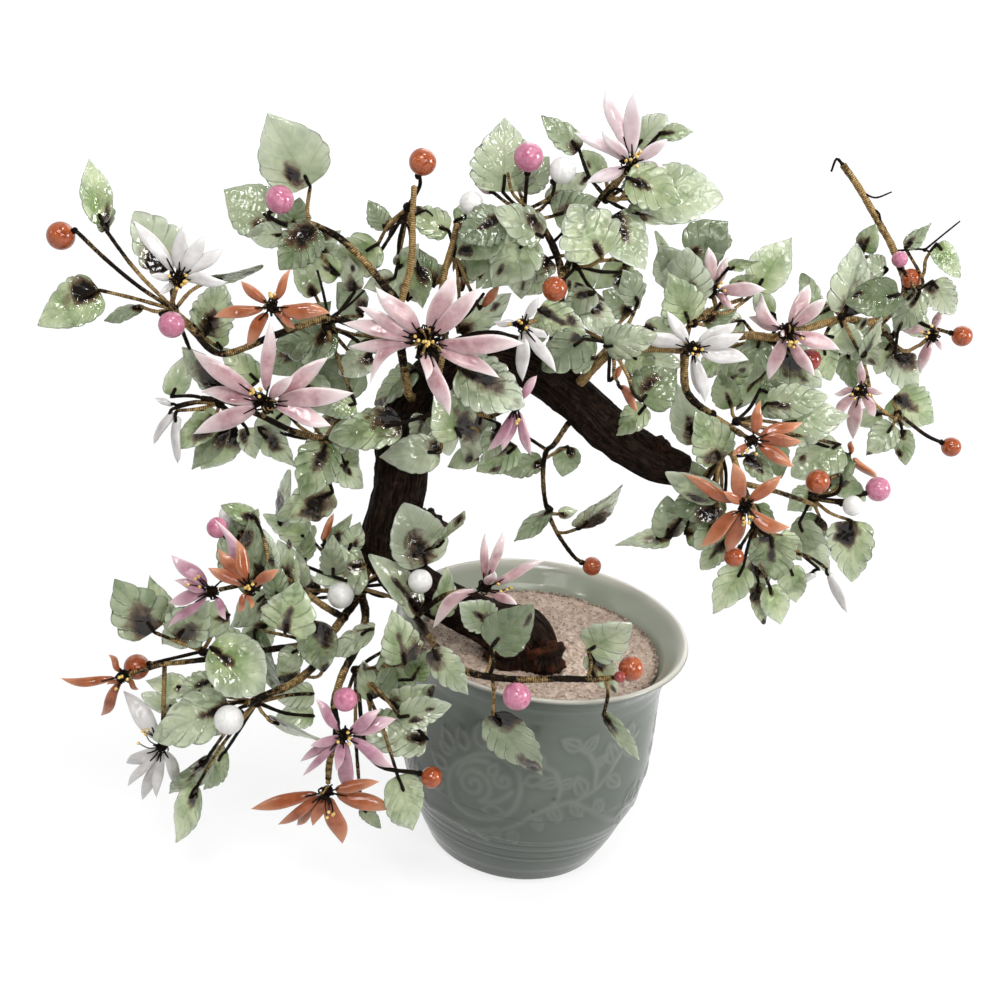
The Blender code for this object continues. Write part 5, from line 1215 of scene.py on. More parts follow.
def petal_glass(hue):
    """Milky glass, paler at the edges and the tip."""
    deep, main, pale_tip = PETAL_COLOURS[hue]
    s = Shader(hue + "_glass")
    cloud, tip = s.noise(120.0, 3.0, 0.6), s.paint("tip")
    colour = s.mix(s.span(cloud, 0.35, 0.65), deep, main)
    colour = s.mix(s.span(tip, 0.05, 0.4, 0.5, 0.0), colour, deep)
    pale = s.plus(s.span(tip, 0.5, 1.0, 0.0, 0.85), s.times(s.paint("rim"), 0.5))
    pale = s.plus(pale, s.times(s.paint("shade"), 0.12))
    s.set(Base_Color=s.mix(s.maths("MINIMUM", pale, 1.0), colour, pale_tip))
    s.gloss(cloud, 0.08, 0.16)
    s.glass(0.10, 0.12, (1.0, 0.7, 0.6))
    s.bump(s.noise(170.0, 1.0, 0.4), 0.5, 0.0010)
    return s.mat


def bead_glass(hue):
    """Mottled stone-like glass of the round beads."""
    s = Shader(hue + "_bead")
    cloud = s.noise(240.0, 5.0, 0.7, distort=1.5)
    s.set(Base_Color=s.mix(s.span(cloud, 0.36, 0.62), *BEAD_COLOURS[hue]))
    s.gloss(cloud, 0.08, 0.2)
    s.glass(0.0, 0.12, (1.0, 0.6, 0.5))
    s.bump(s.noise(330.0, 2.0, 0.5), 0.25, 0.0004)
    return s.mat


def wrapped_wire():
    """Silk thread wound on wire, nearly black with golden brown stretches."""
    s = Shader("wrapped_wire")
    slant = s.plus(s.times(s.paint("along"), 1.1), s.paint("turn"))
    ridge = s.maths("SINE", s.times(slant, 2 * math.pi))
    fray = s.noise(600.0, 3.0, 0.7)
    golden = s.plus(s.paint("gold"), s.times(s.less(fray, 0.5), 0.9))
    brown = s.mix(s.span(fray, 0.45, 0.75), BLACK_THREAD, BROWN_THREAD)
    gold = s.mix(s.span(fray, 0.3, 0.7), DULL_GOLD, BRIGHT_GOLD)
    colour = s.mix(s.span(golden, 0.3, 0.6), brown, gold)
    colour = s.mix(s.span(ridge, -1.0, -0.1, 0.7, 0.0), colour, BLACK_THREAD)
    s.set(Base_Color=colour, Metallic=s.span(golden, 0.3, 0.6, 0.0, 0.45), Specular_IOR_Level=0.08)
    s.gloss(fray, 0.35, 0.6)
    s.bump(s.plus(s.times(ridge, 0.5), fray), 0.6, 0.0003)
    return s.mat


def gold_metal():
    """Golden ends of the stamens."""
    s = Shader("gold_tips")
    grain = s.noise(500.0)
    s.set(Base_Color=s.mix(s.span(grain, 0.3, 0.7), TIP_SHADOW, TIP_GOLD), Metallic=0.5)
    s.gloss(grain, 0.25, 0.45)
    s.bump(grain, 0.3, 0.0002)
    return s.mat


def bark():
    """Nearly black brown wood, ruddy on its high places: partly wear, partly painted highlight."""
    s = Shader("bark")
    stretch = s.node("ShaderNodeCombineXYZ")
    for socket, value in zip(stretch.inputs, (s.times(s.paint("along"), 0.014),
                                              s.paint("cosine"), s.paint("sine"))):
        s.link(value, socket)
    grain = s.noise(11.0, 6.0, 0.75, source=stretch.outputs[0])
    fine = s.noise(300.0, 4.0, 0.7)
    colour = s.mix(s.span(grain, 0.44, 0.68), BLACK_BARK, BROWN_BARK)
    colour = s.mix(s.times(s.span(fine, 0.52, 0.72), 0.30), colour, WORN_BARK)
    # Ruddy on raised bark: partly wear, partly painted highlight.
    colour = s.mix(s.times(s.paint("ruddy"), s.span(fine, 0.35, 0.6)), colour, RUDDY_BARK)
    s.set(Base_Color=colour, Specular_IOR_Level=0.07)
    s.gloss(grain, 0.5, 0.75)
    s.bump(s.plus(grain, s.times(fine, 0.35)), 1.0, 0.0022)
    return s.mat


def celadon():
    """Grey-green glaze: painted light on the moulded scroll and the inside wall, painted shade
    beside the scroll and toward the foot, a painted shadow at the foot, darker grooves and pits.
    """
    s = Shader("celadon")
    cloud, fine = s.noise(26.0, 3.0, 0.55), s.noise(420.0, 2.0, 0.6)
    glaze = s.mix(s.span(cloud, 0.3, 0.7), DARK_GLAZE, GLAZE)
    # Paler on the raised scroll: painted light.
    glaze = s.mix(s.span(s.paint("relief"), 0.0, 1.0, 0.0, 0.4), glaze, RAISED_LIT_GLAZE)
    # Painted light on the inside wall; darker in grooves and pits, with painted shade beside the
    # scroll and toward the foot; a pale lip line; a painted shadow at the foot.
    for name, layer in (("inner", LIT_LINING_GLAZE), ("pooled_and_shaded", POOLED_AND_SHADED_GLAZE),
                        ("rimline", PALE_RIM_LINE), ("foot", FOOT_SHADOW)):
        glaze = s.mix(s.paint(name), glaze, layer)
    s.set(Base_Color=glaze, IOR=1.45)
    s.gloss(fine, 0.14, 0.24)
    s.bump(s.noise(60.0, 3.0, 0.5), 0.15, 0.0012)
    return s.mat


def sand_grain():
    """Pale brown sand with dark grains."""
    s = Shader("sand_grain")
    speck = s.noise(430.0, 2.0, 0.7)
    cell = s.node("ShaderNodeTexVoronoi")
    cell.inputs["Scale"].default_value = 600.0
    s.link(s.place, cell.inputs["Vector"])
    colour = s.mix(s.span(cell.outputs["Color"], 0.1, 0.9), SAND_SHADOW, SAND_LIGHT)
    colour = s.mix(s.span(speck, 0.62, 0.70, 0.0, 0.8), colour, DARK_GRAIN)
    colour = s.mix(s.times(s.paint("crumb"), 0.8), colour, CRUMB)
    s.set(Base_Color=colour)
    s.gloss(speck, 0.75, 0.95)
    s.bump(s.plus(cell.outputs["Distance"], speck), 0.7, 0.0006)
    return s.mat


# ---------------------------------------------------------------- pieces ---
# Wires whose thread has come out golden: how golden each wire of a bough is.
GOLDEN = {
    "bough_left": (0.42, 0.8, 0.36), "bough_mid": (0.7, 0.5), "bough_side": (0.3,),
    "bough_right": (0.66, 0.55, 0.4, 0.5, 0.45, 0.5, 0.66),
    "bough_top": (0.36, 0.5, 0.0, 0.0, 0.4), "bough_low": (0.4, 0.45, 0.4, 0.4)}
STEM_GOLD, SPRAY_WIRE_GOLD, BEAD_WIRE_GOLD, LEAF_WIRE_GOLD = 0.5, 0.3, 0.2, (0.15, 0.62, 0.62)
# Kinds of wire: points around, length of a step and unevenness.
STOUT_WIRE, BOUGH_WIRE, FLOWER_STEM = (12, 1.2, 0.09), (8, 1.2, 0.09), (8, 1.2, 0.05)
SPRAY_WIRE, LEAF_WIRE, BEAD_WIRE = (10, 1.0, 0.09), (7, 1.4, 0.12), (8, 1.2, 0.06)
PETAL_WIRE, RING_WIRE = (6, 0.8, 0.1), (6, 0.9, 0.0)
LOOP_WIRE, STAMEN_WIRE = (5, 1.0, 0.0), (6, 1.0, 0.0)
STOUT_RADIUS = 1.2
# Kinds of ball: points around and rows.
BEAD_BALL, LUMP_BALL, TIP_BALL, PIN_BALL = (26, 17), (14, 9), (10, 6), (9, 6)
BEAD_DENT, PIN_RADIUS, PETAL_WIRE_RADII = 0.06, 0.78, (0.42, 0.3)
# Flowers of a deeper pink than the rest.
ROSY = ("flower_low_pink", "flower_mauve", "flower_hanging")
# Loose loops at a flower's heart, how wide they spread, and the stamens' length.
PLAIN_HEART = (14, 3.8, 7.0)
HEARTS = {
    "flower_heart": (70, 8.2, 10.0), "flower_mauve": (12, 3.8, 11.0),
    "flower_low_white": (12, 3.4, 11.0), "flower_fan": (12, 3.8, 11.0),
    "flower_rim": (12, 3.8, 10.0), "flower_left_pink": (34, 5.4, 8.0),
    "flower_hanging": (10, 3.2, 8.0), "flower_summit": (20, 4.4, 8.0),
    "flower_right_pink": (24, 4.6, 7.0), "flower_low_orange": (22, 4.4, 7.0),
    "flower_left_white": (18, 4.0, 7.0)}
# The way the stamens lean, beside the way the flower faces.
STAMEN_LEAN = {
    "flower_rim": (1.6, 0.2, 0.9), "flower_fan": (0.7, 0.0, -2.0),
    "flower_low_white": (-1.4, 0.0, 1.4), "flower_mauve": (-1.2, 0.0, 0.6),
    "flower_hanging": (0.4, 0.0, -1.6), "flower_left_pink": (-0.8, 0.0, 0.9),
    "flower_left_orange": (-0.2, 0.0, 1.2), "flower_upper_right": (1.2, 0.0, 0.8),
    "flower_right_orange": (0.1, 0.0, -1.6), "flower_low_orange": (0.2, 0.0, -1.2),
    "flower_right_pink": (0.6, 0.0, -1.2)}
FULL_HEART, FEW_STAMENS, MANY_STAMENS = 16, 4, 8
STAMEN_RADIUS, STAMEN_TIP = 0.27, 0.74
SHORTEST_SWAY, MOST_SWAY = 5.0, 1.6


def seed_of(node):
    return sum(ord(letter) for letter in node)


def add_wire(skin, points, radii, kind, seed, gold=0.0, fade=0.0):
    """One wire; `gold` is how much golden thread shows, and `fade` how dark its end is."""
    verts, faces, along, turn = pipe(points, radii, *kind, seed)
    tint = gold + 0.18 * np.sin(along * 0.21 + 2.3 * seed) * (gold > 0)
    tint = tint * (1 - fade * (along / along.max()) ** 2)
    skin.add(verts, faces, along=along, turn=turn, gold=tint)


def add_ring(skin, centre, way, radius, thick, turns, seed):
    """A few turns of wire around an axis."""
    way = unit(row(way))
    side = square_to(way)
    other = np.cross(way, side)
    angle = np.linspace(0, 2 * np.pi * turns, int(12 * turns)) + seed
    climb = np.linspace(-0.5, 0.5, len(angle)) * thick * 1.8 * turns
    path = [centre + way * h + (side * math.cos(a) + other * math.sin(a)) * radius
            for a, h in zip(angle, climb)]
    add_wire(skin, path, [thick, thick], RING_WIRE, seed)


def add_lump(skin, centre, radius, seed):
    """Wound knot of thread: an uneven ball with a few turns over it."""
    rng = np.random.default_rng(seed)
    way = unit(rng.normal(size=3))
    centre = row(centre)
    verts, faces = pearl(centre, radius, way, *LUMP_BALL)
    verts = centre + (verts - centre) * (1 + 0.10 * np.sin(4 * verts[:, :1] + 3 * verts[:, 2:]))
    skin.add(verts, faces, along=(verts @ way), turn=0.0, gold=0.0)
    for k in range(3):
        add_ring(skin, centre, unit(way + 0.6 * rng.normal(size=3)), radius * 0.98, 0.3, 1.1, k)


def bough_piece(node, layout, wire_mat):
    """Main wires of a bough, with a knot where each leaves another, and flower stems."""
    skin, wires = Skin(), layout.wires[node]
    for index, (points, radii) in enumerate(wires):
        gold = dict(enumerate(GOLDEN[node])).get(index, 0.0)
        kind = STOUT_WIRE if radii[0] > STOUT_RADIUS else BOUGH_WIRE
        add_wire(skin, points, radii, kind, index * 1.3, gold)
        if index:
            add_lump(skin, points[0], radii[0] * 1.35, index)
    for index, stem in enumerate(layout.shapes[node][len(wires):], len(wires)):
        add_wire(skin, stem[1], stem[2], FLOWER_STEM, index * 0.7, STEM_GOLD)
    skin.piece(node + "_wire", wire_mat, "wrapped_wire", [node])


def stamen(wire, gold, start, way, length, seed):
    """Thin dark thread with a golden tip."""
    rng = np.random.default_rng(seed)
    side = unit(rng.normal(size=3)) * length * 0.14
    middle = start + way * length * 0.55 + side
    end = start + way * length + side * 0.3
    radii = [STAMEN_RADIUS, STAMEN_RADIUS * 0.8]
    add_wire(wire, [start, middle, end], radii, STAMEN_WIRE, seed)
    gold.add(*pearl(end + way * 0.3, STAMEN_TIP, way, *TIP_BALL))


def heart_loops(wire, centre, axis, loops, wide, rng):
    """Tangle of stiff thread loops that fills the middle of a flower."""
    for index in range(loops):
        around = unit(np.cross(axis, rng.normal(size=3)))
        way = unit(axis * rng.uniform(0.25, 1.2) + around)
        reach = centre + way * wide * rng.uniform(0.5, 1.0)
        bend = unit(np.cross(way, rng.normal(size=3))) * rng.uniform(0.8, 1.9)
        back = centre + way * 1.8 + bend * 1.5
        thick = rng.uniform(0.3, 0.5)
        gold = 0.6 if rng.uniform() < 0.14 else 0.0
        loop = [centre + way, reach, reach + bend, back]
        add_wire(wire, loop, [thick, thick], LOOP_WIRE, index, gold)


def flower_pieces(node, layout, mats):
    """Petals, the wires and loops that hold them, and the stamens' golden tips."""
    hue, seed = FLOWERS[node][0], seed_of(node)
    hub, *rest = layout.shapes[node]
    blades = [shape[1] for shape in rest]
    petals, wire, gold = Skin(), Skin(), Skin()
    for index, blade in enumerate(blades):
        petal(petals, blade, seed * 31 + index)
    centre = row(hub[1])
    axis = row(sum((blade.face for blade in blades), Vector()).normalized())
    rng = np.random.default_rng(seed)
    add_lump(wire, centre, HUB_RADIUS * 0.85, seed)
    for index, blade in enumerate(blades):
        start = centre + row(blade.way) * HUB_RADIUS * 0.4 + axis * 0.9
        end = row(blade.at(rng.uniform(0.2, 0.34), rng.uniform(-0.8, 0.8), 0.4))
        bulge = (start + end) / 2 + axis * rng.uniform(0.6, 1.4)
        add_wire(wire, [start, bulge, end], PETAL_WIRE_RADII, PETAL_WIRE, index)
    loops, wide, length = HEARTS.get(node, PLAIN_HEART)
    heart_loops(wire, centre, axis, loops, wide, rng)
    lean = np.array(STAMEN_LEAN.get(node, (0.0, 0.0, 0.0)))
    for index in range(FEW_STAMENS if loops < FULL_HEART else MANY_STAMENS):
        way = unit(axis + lean + 0.33 * rng.normal(size=3))
        size = length * rng.uniform(0.7, 1.1)
        stamen(wire, gold, centre + axis * 1.5, way, size, seed + index)
    petals.piece(node + "_petals", mats["rose" if node in ROSY else hue], hue + "_glass", [node])
    wire.piece(node + "_heart", mats["wire"], "wrapped_wire", [node])
    gold.piece(node + "_tips", mats["gold"])


def swayed(points, share, seed):
    """The same way with its longest straight stretch bowed a little sideways."""
    rng = np.random.default_rng(seed)
    spans = [np.linalg.norm(b - a) for a, b in zip(points, points[1:])]
    k = int(np.argmax(spans))
    if spans[k] < SHORTEST_SWAY:
        return points
    way = unit(points[k + 1] - points[k])
    side = unit(np.cross(way, rng.normal(size=3)))
    middle = 0.5 * (points[k] + points[k + 1]) + side * min(share * spans[k], MOST_SWAY)
    return points[:k + 1] + [middle] + points[k + 1:]


def hook(wire, blade, points, radius, seed, gold):
    """The wire runs through the foot of a leaf and is bent flat onto its face."""
    rng = np.random.default_rng(seed + 5)
    reach, side = rng.uniform(0.13, 0.24), rng.uniform(-0.6, 0.6)
    stops = ((0.03, 0.0, 0.6), (0.5 * reach, 0.5 * side, 0.8), (reach, side, 0.1))
    pin = [row(blade.at(*stop)) for stop in stops]
    radii = [radius * 1.4, radius * 1.2, radius * 1.3]
    add_wire(wire, points + pin, radii, LEAF_WIRE, seed, gold, 0.9)
    if blade.kind == "leaf":
        verts, faces = pearl(pin[-1] + row(blade.face) * 0.15, PIN_RADIUS, blade.way, *PIN_BALL)
        wire.add(verts, faces, along=0.0, turn=0.0, gold=0.0)


def add_bead(wire, glass, points, radius, end, seed):
    """A bead on its wire, with a few turns of thread and a knot under it."""
    centre, size = row(end[1]), end[2]
    way = unit(centre - points[-1])
    seat = centre - way * size * 0.9
    add_wire(wire, points[:-1] + [seat], [radius, radius], BEAD_WIRE, seed, BEAD_WIRE_GOLD)
    add_ring(wire, seat - way * 0.2, way, 0.85, 0.45, 2.2, seed)
    add_lump(wire, seat - way * 1.2, 1.15, seed)
    skin = glass.setdefault("bead_" + end[5], Skin())
    skin.add(*pearl(centre, size, way, *BEAD_BALL, BEAD_DENT), tip=0.0, shade=(seed % 7) / 7.0)


def spray_pieces(node, layout, mats):
    """One bunch: its wires and knot, its leaves, and its beads and petals of each colour."""
    wire, leaves, glass = Skin(), Skin(), {}
    seed = seed_of(node)
    if node in layout.wires:
        for index, (points, radii) in enumerate(layout.wires[node]):
            add_wire(wire, points, radii, SPRAY_WIRE, index, SPRAY_WIRE_GOLD)
    else:
        add_lump(wire, layout.shapes[node][0][1], KNOT_RADIUS * 0.95, seed * 7)
    for index, (stalk, end) in enumerate(layout.arms[node]):
        points, radius, own = [row(v) for v in stalk[1]], stalk[2][0], seed * 7 + index
        if end[0] == "ball":
            add_bead(wire, glass, points, radius, end, own)
            continue
        blade = end[1]
        gold = LEAF_WIRE_GOLD[index % len(LEAF_WIRE_GOLD)]
        hook(wire, blade, swayed(points, 0.12, own), radius, own, gold)
        if blade.kind == "leaf":
            leaf(leaves, blade, seed * 91 + index)
        else:
            petal(glass.setdefault(blade.hue, Skin()), blade, seed * 91 + index)
    wire.piece(node + "_wire", mats["wire"], "wrapped_wire", [node])
    leaves.piece(node + "_leaves", mats["leaf"], "leaf_glass", [node])
    for hue, skin in glass.items():
        slot = hue.replace("bead_", "").replace("crimson", "orange") + "_glass"
        skin.piece(node + "_" + hue, mats[hue], slot)


# ------------------------------------------------------------------- pot ---
# Turned grooves: height, depth and half width.  Pits: arc from the front, height, size.
GROOVES = [(21.8, 0.3, 0.5), (26.4, 0.26, 0.5), (30.8, 0.28, 0.5)]
PITS = [(13.1, 59.2, 0.9), (4.8, 52.6, 0.7)]
PIT_DEPTH, CARVING_DEPTH = 0.6, 0.45
# The scroll is drawn on the wall unrolled at this radius, and repeated around it.
WALL_RADIUS, REPEATS, SCROLL_START = 58.0, 3, -50.0
SCROLL_FLOOR, SCROLL_ROOF, FINE_FLOOR, FINE_ROOF = 30, 94, 12, 96
POT_AROUND, POT_STEP, LINING_STEP, STROKE_STEP = 440, 0.8, 3.0, 0.8
# The foot and the lip stay as turned; corners between them are softened over some rows.
FOOT_HEIGHT, LIP_HEIGHT, SOFT_ROWS, SOFTNESS = 6, 110, 9, 4.0
# Painted shade makes the glaze darker toward the foot: share at the foot, and height where it
# begins.
FOOT_SHADE_SHARE, FOOT_SHADE_TOP = 0.75, 95.0
# A pale line along the lip; a painted shadow at the foot up to a height, fading; the inside wall
# painted lighter, as lit, above a height.
RIM_LINE, FOOT_SHADOW_HEIGHT, FOOT_SHADOW_FADE, LINING_FLOOR = 0.8, 4.5, 3.5, 80


def resampled(rows, step):
    """Rows of radius and height, about `step` apart along the profile."""
    rows = np.array(rows, dtype=float)
    runs = np.concatenate([[0.0], np.cumsum(np.linalg.norm(np.diff(rows, axis=0), axis=1))])
    share = np.linspace(0, runs[-1], max(int(runs[-1] / step), 2) + 1)
    share = np.unique(np.concatenate([share, runs]))
    return np.interp(share, runs, rows[:, 0]), np.interp(share, runs, rows[:, 1])


def softened(radius, height):
    """Thrown curve: the corners of the wall are rounded, the foot and the lip stay."""
    kernel = np.exp(-0.5 * (np.arange(-SOFT_ROWS, SOFT_ROWS + 1) / SOFTNESS) ** 2)
    kernel /= kernel.sum()
    smooth = np.convolve(np.pad(radius, SOFT_ROWS, mode="edge"), kernel, mode="valid")
    share = held((height - FOOT_HEIGHT) / 8) * held((LIP_HEIGHT - height) / 4)
    return radius + (smooth - radius) * share, height


def thinned(radius, height):
    """Every second row is left out below and above the scroll."""
    kept = ((height > FINE_FLOOR) & (height < FINE_ROOF)) | (np.arange(len(height)) % 2 == 0)
    kept[-1] = True
    return radius[kept], height[kept]


def stroke(a, z, path, width):
    """Squared distance to a smooth path on the unrolled wall, in stroke widths."""
    line, _ = smooth_path([(x, 0.0, y) for x, y in path], STROKE_STEP)
    best = np.full(a.shape, 1e9)
    for x, _, y in line:
        best = np.minimum(best, (a - x) ** 2 + (z - y) ** 2)
    return best / width ** 2


def frond(base, tip, wide):
    """Outline of a pointed leaf: two bowed strokes from base to tip."""
    (x0, y0), (x1, y1) = base, tip
    side = np.array((y0 - y1, x1 - x0)) * wide
    made = []
    for hand in (-1.0, 1.0):
        low, high = ((x0 + share * (x1 - x0) + swell * hand * side[0],
                      y0 + share * (y1 - y0) + swell * hand * side[1])
                     for share, swell in ((0.3, 1.0), (0.7, 0.8)))
        made.append([base, low, high, tip])
    return made


def coil(centre, wide, turns, start):
    """A line that winds inwards like the head of a young fern."""
    share = np.linspace(0, 1, int(14 * turns) + 1)
    angle = start + 2 * np.pi * turns * share
    reach = wide * (1 - 0.84 * share)
    return [(centre[0] + r * math.cos(a), centre[1] + r * math.sin(a))
            for a, r in zip(angle, reach)]


# The scroll on the unrolled wall: arc from the front and height, in millimetres.
PEONY_LINES = [
    [(-35.5, 56), (-34.5, 63), (-30, 69.5), (-23.5, 75), (-16.5, 77.5), (-9, 75.5), (-4.5, 71.5),
     (-2.5, 66), (-2.5, 60), (-4, 53), (-9, 47), (-17, 44), (-25, 44), (-32, 48), (-35.5, 56)],
    coil((-23, 60), 8.5, 1.7, -1.1), coil((-10, 66), 4.2, 1.2, 2.6),
    [(-19, 52.5), (-13, 54), (-8.5, 57.5), (-6, 61)], [(-31, 62), (-29, 68), (-24, 72), (-18, 73)]]
PEONY_PETALS = [
    ((-36, 70), (-42.5, 73)), ((-35, 72), (-42, 80)), ((-29, 75.5), (-33, 84)),
    ((-20.5, 79), (-23.5, 91)), ((-16, 79.5), (-18, 91)), ((-9.5, 77.5), (-7, 87)),
    ((-4, 74), (2, 83)), ((-37, 62), (-46, 65)), ((-38, 52), (-47, 51)), ((-1, 67), (7, 70)),
    ((-17, 49), (-8, 50)), ((-16, 67), (-14, 73))]
SCROLL_LINES = [
    [(-48, 34), (-43, 36), (-30.5, 36), (-18, 36.5), (-5.5, 41.5), (4.5, 50), (12.5, 55),
     (21, 57.5)],
    [(21, 56), (27, 59.5), (31.5, 62), (37.5, 67.5), (41, 73.5), (46, 79), (54, 84)],
    [(48, 40), (55, 44), (62, 43), (70, 37)], [(21, 57.5), (30, 52), (40, 45), (48, 40)],
    [(12.5, 55), (15, 64), (12, 72), (6, 76)], [(31.5, 62), (31, 72), (27, 80), (22, 84)]]
SCROLL_LEAVES = [
    ((-27.5, 37.5), (-24, 33)), ((-12.5, 40.5), (-8.5, 35.5)), ((-3.5, 40.5), (-1, 33.5)),
    ((6, 49), (9, 42)), ((22, 84), (13, 89)), ((33, 56), (38, 49)), ((38, 67), (46, 60)),
    ((14, 66), (22, 68)), ((14, 69), (5, 66)), ((24, 82), (29, 90)), ((27, 60), (22, 70)),
    ((41, 73), (36, 84)), ((46, 79), (55, 74)), ((55, 44), (60, 55)), ((62, 43), (66, 52)),
    ((50, 41), (56, 34)), ((30, 74), (36, 79)), ((6, 76), (2, 82)), ((12, 55), (17, 47)),
    ((22, 57), (27, 49)), ((49, 82), (48, 91)), ((-18, 37), (-14, 31))]


def scroll_strokes():
    """Every stroke of the scroll with its half width."""
    lines = [(path, 1.55) for path in PEONY_LINES + SCROLL_LINES]
    petals = [(path, 1.15) for ends in PEONY_PETALS for path in frond(*ends, 0.28)]
    leaves = [(path, 1.0) for ends in SCROLL_LEAVES for path in frond(*ends, 0.26) + [list(ends)]]
    return lines + petals + leaves


def carving(arc, z):
    """The soft moulded scroll around the wall: its height, and a ring of painted shade beside it.
    """
    a = (arc - SCROLL_START) % (2 * np.pi * WALL_RADIUS / REPEATS) + SCROLL_START
    rows = ((z > SCROLL_FLOOR) & (z < SCROLL_ROOF)).any(axis=1)
    a, level = a[rows], z[rows]
    near = np.full_like(level, 1e9)
    for path, width in scroll_strokes():
        near = np.minimum(near, stroke(a, level, path, width))
    height, shade_ring = np.zeros_like(z), np.zeros_like(z)
    height[rows] = np.exp(-near)
    # A ring beside each stroke, used only to darken the glaze: painted shade.
    shade_ring[rows] = np.exp(-near / 5.0) - np.exp(-near / 1.6)
    return height, shade_ring


def pot_piece(mat):
    """Glazed pot with its low scroll, turned grooves and two pits; its glaze is darker in the
    grooves and pits, with painted shade beside the scroll and toward the foot.
    """
    outer = thinned(*softened(*resampled(POT_OUTSIDE, POT_STEP)))
    radius, height = np.concatenate([outer, resampled(POT_INSIDE, LINING_STEP)], axis=1)
    count = len(radius)
    turn = circle(POT_AROUND) - np.pi / 2
    wall = (np.arange(count) < len(outer[0]))[:, None]
    z = height[:, None] + 0 * turn[None]
    arc = (turn[None] + np.pi / 2) * WALL_RADIUS + 0 * z
    # The second part only darkens the glaze beside the scroll: painted shade.
    relief, beside = (part * wall for part in carving(arc, z))
    groove, pits = np.zeros_like(z), np.zeros_like(z)
    for level, depth, wide in GROOVES:
        groove += depth * np.exp(-((z - level) / wide) ** 2) * wall
    for at_arc, at_height, size in PITS:
        pits += np.exp(-((arc - at_arc) ** 2 + (z - at_height) ** 2) / size ** 2) * wall
    r = radius[:, None] + relief * CARVING_DEPTH - groove - PIT_DEPTH * pits
    verts = np.stack([r * np.cos(turn), r * np.sin(turn), z], -1).reshape(-1, 3)
    # Painted shade toward the foot.
    low = FOOT_SHADE_SHARE * held((FOOT_SHADE_TOP - z) / FOOT_SHADE_TOP) * wall
    paint = {
        # Darker in grooves and pits, with painted shade beside the scroll and toward the foot.
        "relief": relief, "pooled_and_shaded": np.clip(groove * 1.8, 0, 0.7) + pits + 0.4 * beside + low,
        # A pale line along the top of the lip.
        "rimline": np.exp(-((z - height.max()) / RIM_LINE) ** 2),
        # A painted shadow at the foot.
        "foot": held((FOOT_SHADOW_HEIGHT - z) / FOOT_SHADOW_FADE) * wall,
        # The inside wall painted lighter, as lit: painted light.
        "inner": (~wall & (z > LINING_FLOOR)).astype(float)}
    paint = {key: with_ends(held(value) + 0 * z, 0, 0) for key, value in paint.items()}
    skin = Skin()
    skin.add(np.vstack([verts, [(0.0, 0.0, height[0]), (0.0, 0.0, height[-1])]]),
             loft_faces(count, POT_AROUND), **paint)
    skin.piece("pot_glazed", mat, "celadon", ["pot"])


# -------------------------------------------------------- sand and trunk ---
SAND_RINGS, SAND_AROUND, SAND_EDGE, SAND_DEPTH = 70, 220, 54.2, 3.0
# Broad swells, lumps and grains of the sand: how fine, how high, and where the noise starts.
SAND_WAVES = ((0.045, 0.3, 1.3), (0.22, 9.0, 0.7), (0.5, 4.0, 0.6))
LOOSE_GRAINS, EDGE_GRAINS = 2800, 4
GRAIN_VERTS = np.array([(0, 0, 1), (1, 0, 0), (0, 1, 0), (-1, 0, 0), (0, -1, 0), (0, 0, -1)],
                       float)
GRAIN_FACES = np.array([(0, 1, 2, 0), (0, 2, 3, 0), (0, 3, 4, 0), (0, 4, 1, 0),
                        (5, 2, 1, 5), (5, 3, 2, 5), (5, 4, 3, 5), (5, 1, 4, 5)])
TRUNK_AROUND, TRUNK_STEP, TRUNK_BALL, LUMP_TURN = 108, 1.1, (40, 26), (0.3, 0.2, 1)
# The raised bark is ruddy, most of all on the root's stump below RUDDY_TOP, partly wear and partly
# painted highlight; the stump's two lumps lie below STUMP_TOP.
RUDDY_TOP, RUDDY_FADE, STUMP_TOP = 122, 12, 125


def sand_height(x, y):
    """Rumpled level of the sand."""
    broad, lumps, grain = (size * noise.noise(Vector((x * fine, y * fine, start)))
                           for fine, start, size in SAND_WAVES)
    return SAND_TOP + 0.4 + broad + lumps + grain


